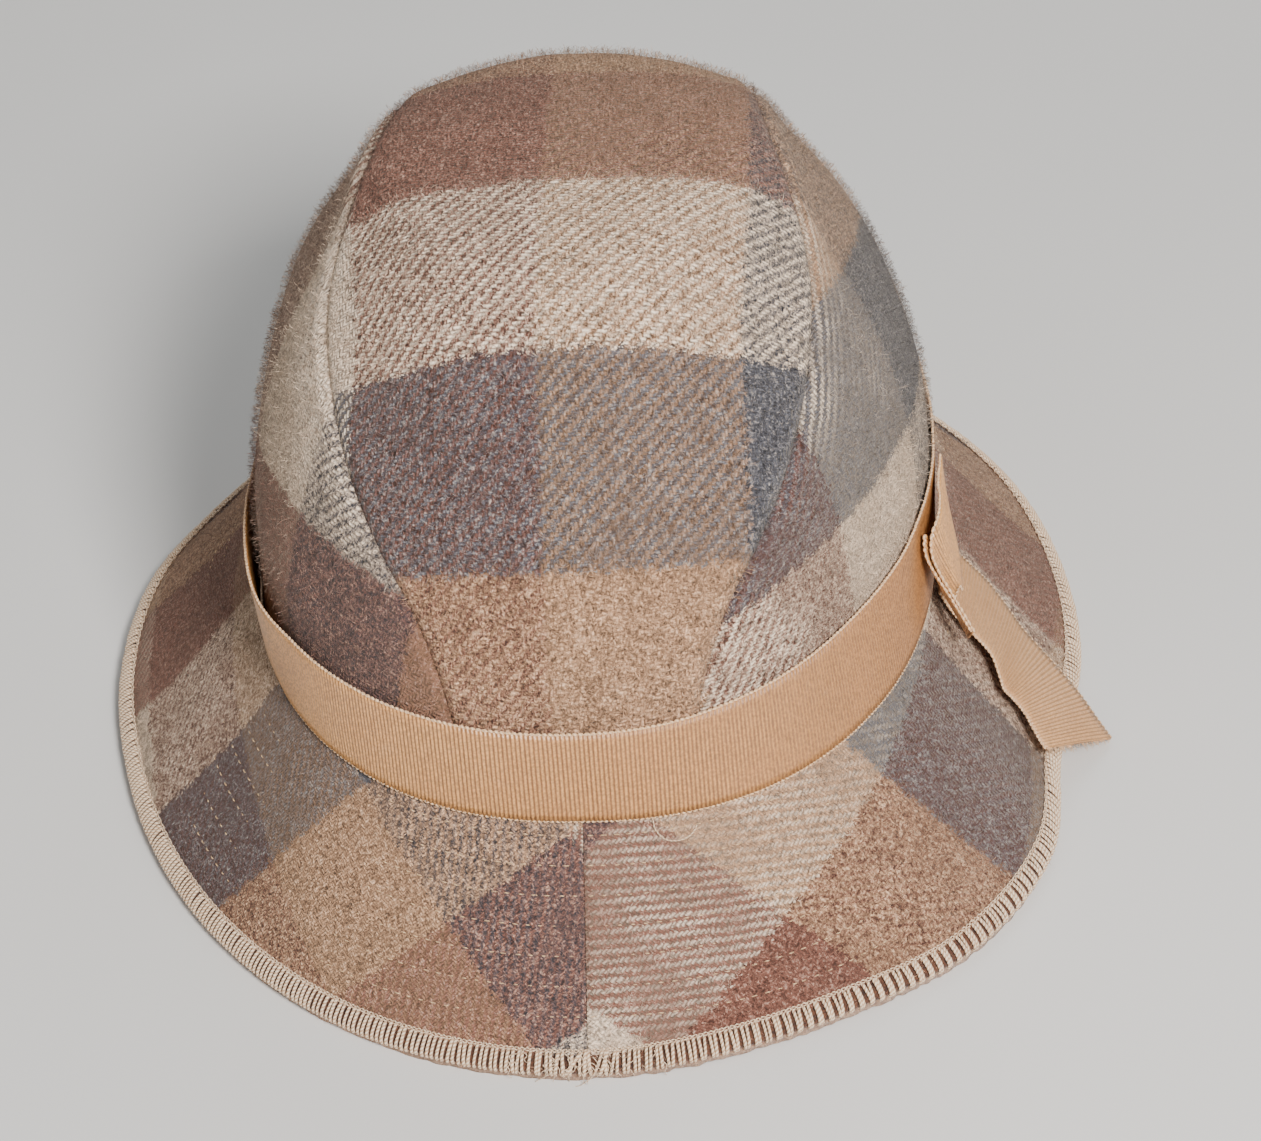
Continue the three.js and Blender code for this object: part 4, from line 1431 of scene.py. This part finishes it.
@dataclass
class Bow:
    """The bow's two ends: the folded loop against the band and the tail on the brim."""

    form: HatForm
    ribbon: Ribbon
    face: bpy.types.Material
    beads: bpy.types.Material
    tail_face: bpy.types.Material
    fold_gap: float = 1.3
    rows_in_cord: int = 6
    loop_rows: int = 120
    fold_from: int = 56
    fold_share: float = 0.6
    fray_count: int = 70

    def _tail_edges(self, count: int) -> list[np.ndarray]:
        """The tail's two edges on the brim."""
        rows = (smooth_rows(table, count).T for table in (TAIL_FRONT, TAIL_BACK))
        return [self.form.brim(angle, share, lift * self.form.band_width) for angle, share, lift in rows]

    def _strip(self, name: str, node: str, first: np.ndarray, last: np.ndarray, crown: np.ndarray,
               finish: bpy.types.Material) -> tuple[bpy.types.Object, bpy.types.Object, float]:
        """Lays a ribbon between two edges.

        Args:
            name: the piece's name.
            node: the frame's node that it replaces.
            first: points of one edge.
            last: points of the other edge.
            crown: how far the ribbon's middle stands off the straight line between, at each row.
            finish: the ribbon's material.

        Returns:
            The ribbon, its beaded edges and its length.
        """
        middle = (first + last) / 2
        run = lengths(middle)
        place = np.linspace(0, run[-1], int(run[-1] / self.ribbon.pitch * self.rows_in_cord))
        a, b = (along_line(place, run, edge) for edge in (first, last))
        share = np.linspace(0, 1, 13)[None, :, None]
        points = a[:, None] * (1 - share) + b[:, None] * share
        normals = unit(np.cross(np.gradient(points, axis=0), np.gradient(points, axis=1)))
        arch = np.interp(place, run, crown)[:, None] * np.sin(math.pi * share[..., 0])
        points = points + normals * arch[..., None]
        normals = unit(np.cross(np.gradient(points, axis=0), np.gradient(points, axis=1)))
        skin, beads = Skin(self.form), Skin(self.form)
        self.ribbon.lay(skin, beads, points, normals, place)
        made = skin.build(name, finish, (node,) if node else (), "grosgrain")
        edges = beads.build(f"{name}_beads", self.beads, (), "grosgrain")
        return made, edges, float(run[-1])

    def tail(self) -> None:
        """The long end on the brim."""
        front, back = self._tail_edges(120)
        arch = np.full(len(front), 0.4)
        made, beads, length = self._strip("bow_tail_ribbon", "bow_tail", front, back, arch, self.tail_face)
        wide = float(np.linalg.norm(front - back, axis=1).mean())
        length * MM
        LOG.info("tail: %.1f by %.1f mm", wide, length)

    def loop(self) -> None:
        """The short end against the band: an outer ply and, at its fold, an inner one."""
        rows = [smooth_rows(table, self.loop_rows) for table in (LOOP_UPPER, LOOP_LOWER)]
        edges = [self.form.band(row[:, 0], row[:, 2], row[:, 1] * self.form.band_width) for row in rows]
        self._strip("bow_loop_ribbon", "bow_loop", edges[0], edges[1], np.full(self.loop_rows, -0.3), self.face)
        # The inner ply starts where the fold does and lies behind the outer one.
        upper, lower = (row[self.fold_from:] for row in rows)
        share = np.linspace(0, 1, len(upper))
        gap = 0.75 + self.fold_gap * (1 - share) ** 2
        first = self.form.band(upper[:, 0], upper[:, 2] - 0.05 * (1 - share), upper[:, 1] * self.form.band_width - gap)
        last = self.form.band(lower[:, 0], lower[:, 2], lower[:, 1] * self.form.band_width - gap)
        last = first + (last - first) * self.fold_share
        self._strip("bow_loop_fold", "", first, last, np.zeros(len(first)), self.face)

    def frays(self) -> None:
        """The loose yarns at the tail's cut end."""
        draw = np.random.default_rng(37)
        front, back = self._tail_edges(60)
        count = self.fray_count
        share = draw.uniform(0.02, 0.98, (count, 1))
        root = front[-1] * (1 - share) + back[-1] * share
        onward = front[-1] + back[-1] - front[-4] - back[-4]
        way = unit(onward[None] + draw.normal(0, 1.2, (count, 3)) * 0.35)
        run = np.linspace(0, 1, 6)[None, :, None]
        bend = draw.normal(0, 0.35, (count, 1, 3)) * run ** 2
        paths = root[:, None] + way[:, None] * run * draw.uniform(0.5, 2.0, (count, 1, 1)) + bend
        skin = Skin(self.form)
        size = 0.1 * np.linspace(1, 0.5, 6)[None]
        skin.strands(paths, np.broadcast_to([0.0, 0.0, 1.0], paths.shape), size, size, 4)
        skin.build("bow_tail_frays", self.beads, (), "grosgrain")

    def build(self) -> None:
        """Makes both ends."""
        self.tail()
        self.loop()
        self.frays()


@dataclass
class LooseEnds:
    """The loose thread under the band and the frays where the overcasting starts and ends."""

    form: HatForm
    finish: bpy.types.Material
    # Angle, share of the brim and lift in millimetres.
    thread: tuple = ((-79.06, 0.0, 0.6), (-78.95, 0.03, 0.7), (-78.8, 0.06, 0.6), (-77.69, 0.102, 0.5),
                     (-75.97, 0.118, 0.6), (-74.1, 0.111, 0.5), (-72.82, 0.085, 0.45), (-72.5, 0.07, 0.3))
    thread_radius: float = 0.16
    frays: int = 46
    fray_radius: float = 0.14

    def build(self) -> None:
        """Makes the thread and the frays."""
        angle, share, lift = smooth_rows(self.thread, 40).T
        skin = Skin(self.form)
        path = self.form.brim(angle, share, lift)
        thick = np.array([self.thread_radius])
        skin.strands(path[None], self.form.brim_frame(angle)[2][None], thick, thick, 6, area=(0, 0, 1, 0.1))
        draw = np.random.default_rng(29)
        start = draw.normal(-91.5, 3.2, (self.frays, 1))
        run = np.linspace(0, 1, 9)[None]
        drift = draw.normal(0, 0.9, (self.frays, 1)) * run
        angle = start + drift + 0.25 * np.sin(run * draw.uniform(2, 7, (self.frays, 1)))
        first = draw.uniform(-4.5, 0.5, (self.frays, 1))
        out = first + draw.uniform(1.5, 4.0, (self.frays, 1)) * run
        lift = 1.25 + draw.uniform(0, 0.5, (self.frays, 1))
        lift = lift - np.maximum(out, 0) * draw.uniform(0.4, 1.3, (self.frays, 1))
        length = self.form.brim_frame(angle)[3]
        paths = self.form.brim(angle, 1 + out / length, lift)
        paths[..., 2] = np.maximum(paths[..., 2], 0.5)
        size = self.fray_radius * np.linspace(1, 0.5, 9)[None]
        skin.strands(paths, self.form.brim_frame(angle)[2], size, size, 4, area=(0, 0.2, 1, 1))
        skin.build("loose_ends", self.finish, (), "thread")


@dataclass
class Studio:
    """Pale floor, soft lights and the camera."""

    # Degrees, the lens in millimetres and the place in metres.
    elevation: float = 37.86
    azimuth: float = 4.25
    roll: float = -4.15
    lens: float = 114.42
    position: tuple = (0.06558, -0.78236, 0.64418)

    def camera(self) -> None:
        """Places the camera where the hat was seen from."""
        e, a, r = (math.radians(v) for v in (self.elevation, self.azimuth, self.roll))
        back = Vector((math.sin(a) * math.cos(e), -math.cos(a) * math.cos(e), math.sin(e)))
        level = Vector((math.cos(a), math.sin(a), 0))
        up = back.cross(level)
        right = level * math.cos(r) + up * math.sin(r)
        up = up * math.cos(r) - level * math.sin(r)
        data = bpy.data.cameras.new("view")
        data.lens, data.sensor_width, data.sensor_fit = self.lens, 36.0, "HORIZONTAL"
        data.clip_start, data.clip_end = 0.05, 20.0
        made = bpy.data.objects.new("view", data)
        made.matrix_world = Matrix.Translation(self.position) @ Matrix((right, up, back)).transposed().to_4x4()
        bpy.context.collection.objects.link(made)
        bpy.context.scene.camera = made

    def _lamp(self, name: str, place: tuple, size: float, power: float, colour: tuple) -> None:
        """Adds a square lamp that faces the hat."""
        data = bpy.data.lights.new(name, "AREA")
        data.size, data.energy, data.color = size, power, colour
        made = bpy.data.objects.new(name, data)
        made.location = place
        made.rotation_euler = (Vector((0, 0, 0.06)) - Vector(place)).to_track_quat("-Z", "Y").to_euler()
        bpy.context.collection.objects.link(made)

    def light(self) -> None:
        """Adds the lamps and the sky."""
        self._lamp("key", (0.42, -0.98, 0.93), 0.30, 31.5, (1.0, 0.97, 0.95))
        self._lamp("fill", (-0.9, -0.9, 0.9), 0.9, 2.6, (0.93, 0.96, 1.0))
        self._lamp("rim", (0.3, 1.1, 1.0), 0.9, 6.0, (1.0, 1.0, 1.0))
        world = bpy.data.worlds.new("soft sky")
        world.use_nodes = True
        world.node_tree.nodes["Background"].inputs[0].default_value = (0.9, 0.93, 0.95, 1)
        world.node_tree.nodes["Background"].inputs[1].default_value = 0.27
        bpy.context.scene.world = world

    def floor(self) -> None:
        """Lays the floor."""
        mesh = bpy.data.meshes.new("floor")
        mesh.from_pydata([(-4, -4, 0), (4, -4, 0), (4, 4, 0), (-4, 4, 0)], [], [(0, 1, 2, 3)])
        mesh.materials.append(FloorFinish().make())
        made = bpy.data.objects.new("floor", mesh)
        bpy.context.collection.objects.link(made)

    def build(self) -> None:
        """Sets the studio up."""
        self.camera()
        self.light()
        self.floor()


def main() -> None:
    """Builds the hat piece by piece over the frame."""
    logging.basicConfig(level=logging.INFO, format="%(name)s: %(message)s")
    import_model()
    form = HatForm()
    Studio().build()
    wool = WoolFinish("Plaid wool").make()
    fluff = WoolFinish("Plaid nap", nap=0.8, bloom=0.04, streak=0.9).make()
    thread = ThreadFinish("Overcast thread").make()
    stitch = ThreadFinish("Stitching thread", "C99A68", "F0D3A6").make()
    face = RibbonFinish("Camel grosgrain").make()
    # The tail's copy of the grosgrain has a lighter valley colour, so less painted shade in its ribs, and weaker
    # painted glints.
    pale = RibbonFinish("Pale grosgrain", "B5834F", "D3A06C", glint=0.5).make()
    # The beaded edges, and the tail's frays, get a finish paler than the ribbon's faces: painted highlight on the
    # beads.
    beads = ThreadFinish("Ribbon edge", "D9A877", "F0CFA6", dirt=0.2).make()
    panels = Crown(form, wool).build()
    brim = Brim(form, wool)
    halves = brim.build()
    Nap(form, fluff, 76000).build("crown_nap", panels, True)
    Nap(form, fluff, 56000, longest=2.6, rise=0.8, seed=5).build("brim_nap", halves)
    OvercastEdge(form, thread, CutEdgeFinish().make()).build()
    QuiltStitches(form, stitch, brim).build()
    ribbon = Ribbon(form)
    Band(form, ribbon, face, beads).build()
    Bow(form, ribbon, face, beads, pale).build()
    LooseEnds(form, thread).build()
    bpy.context.view_layer.update()


if __name__ == "__main__":
    main()
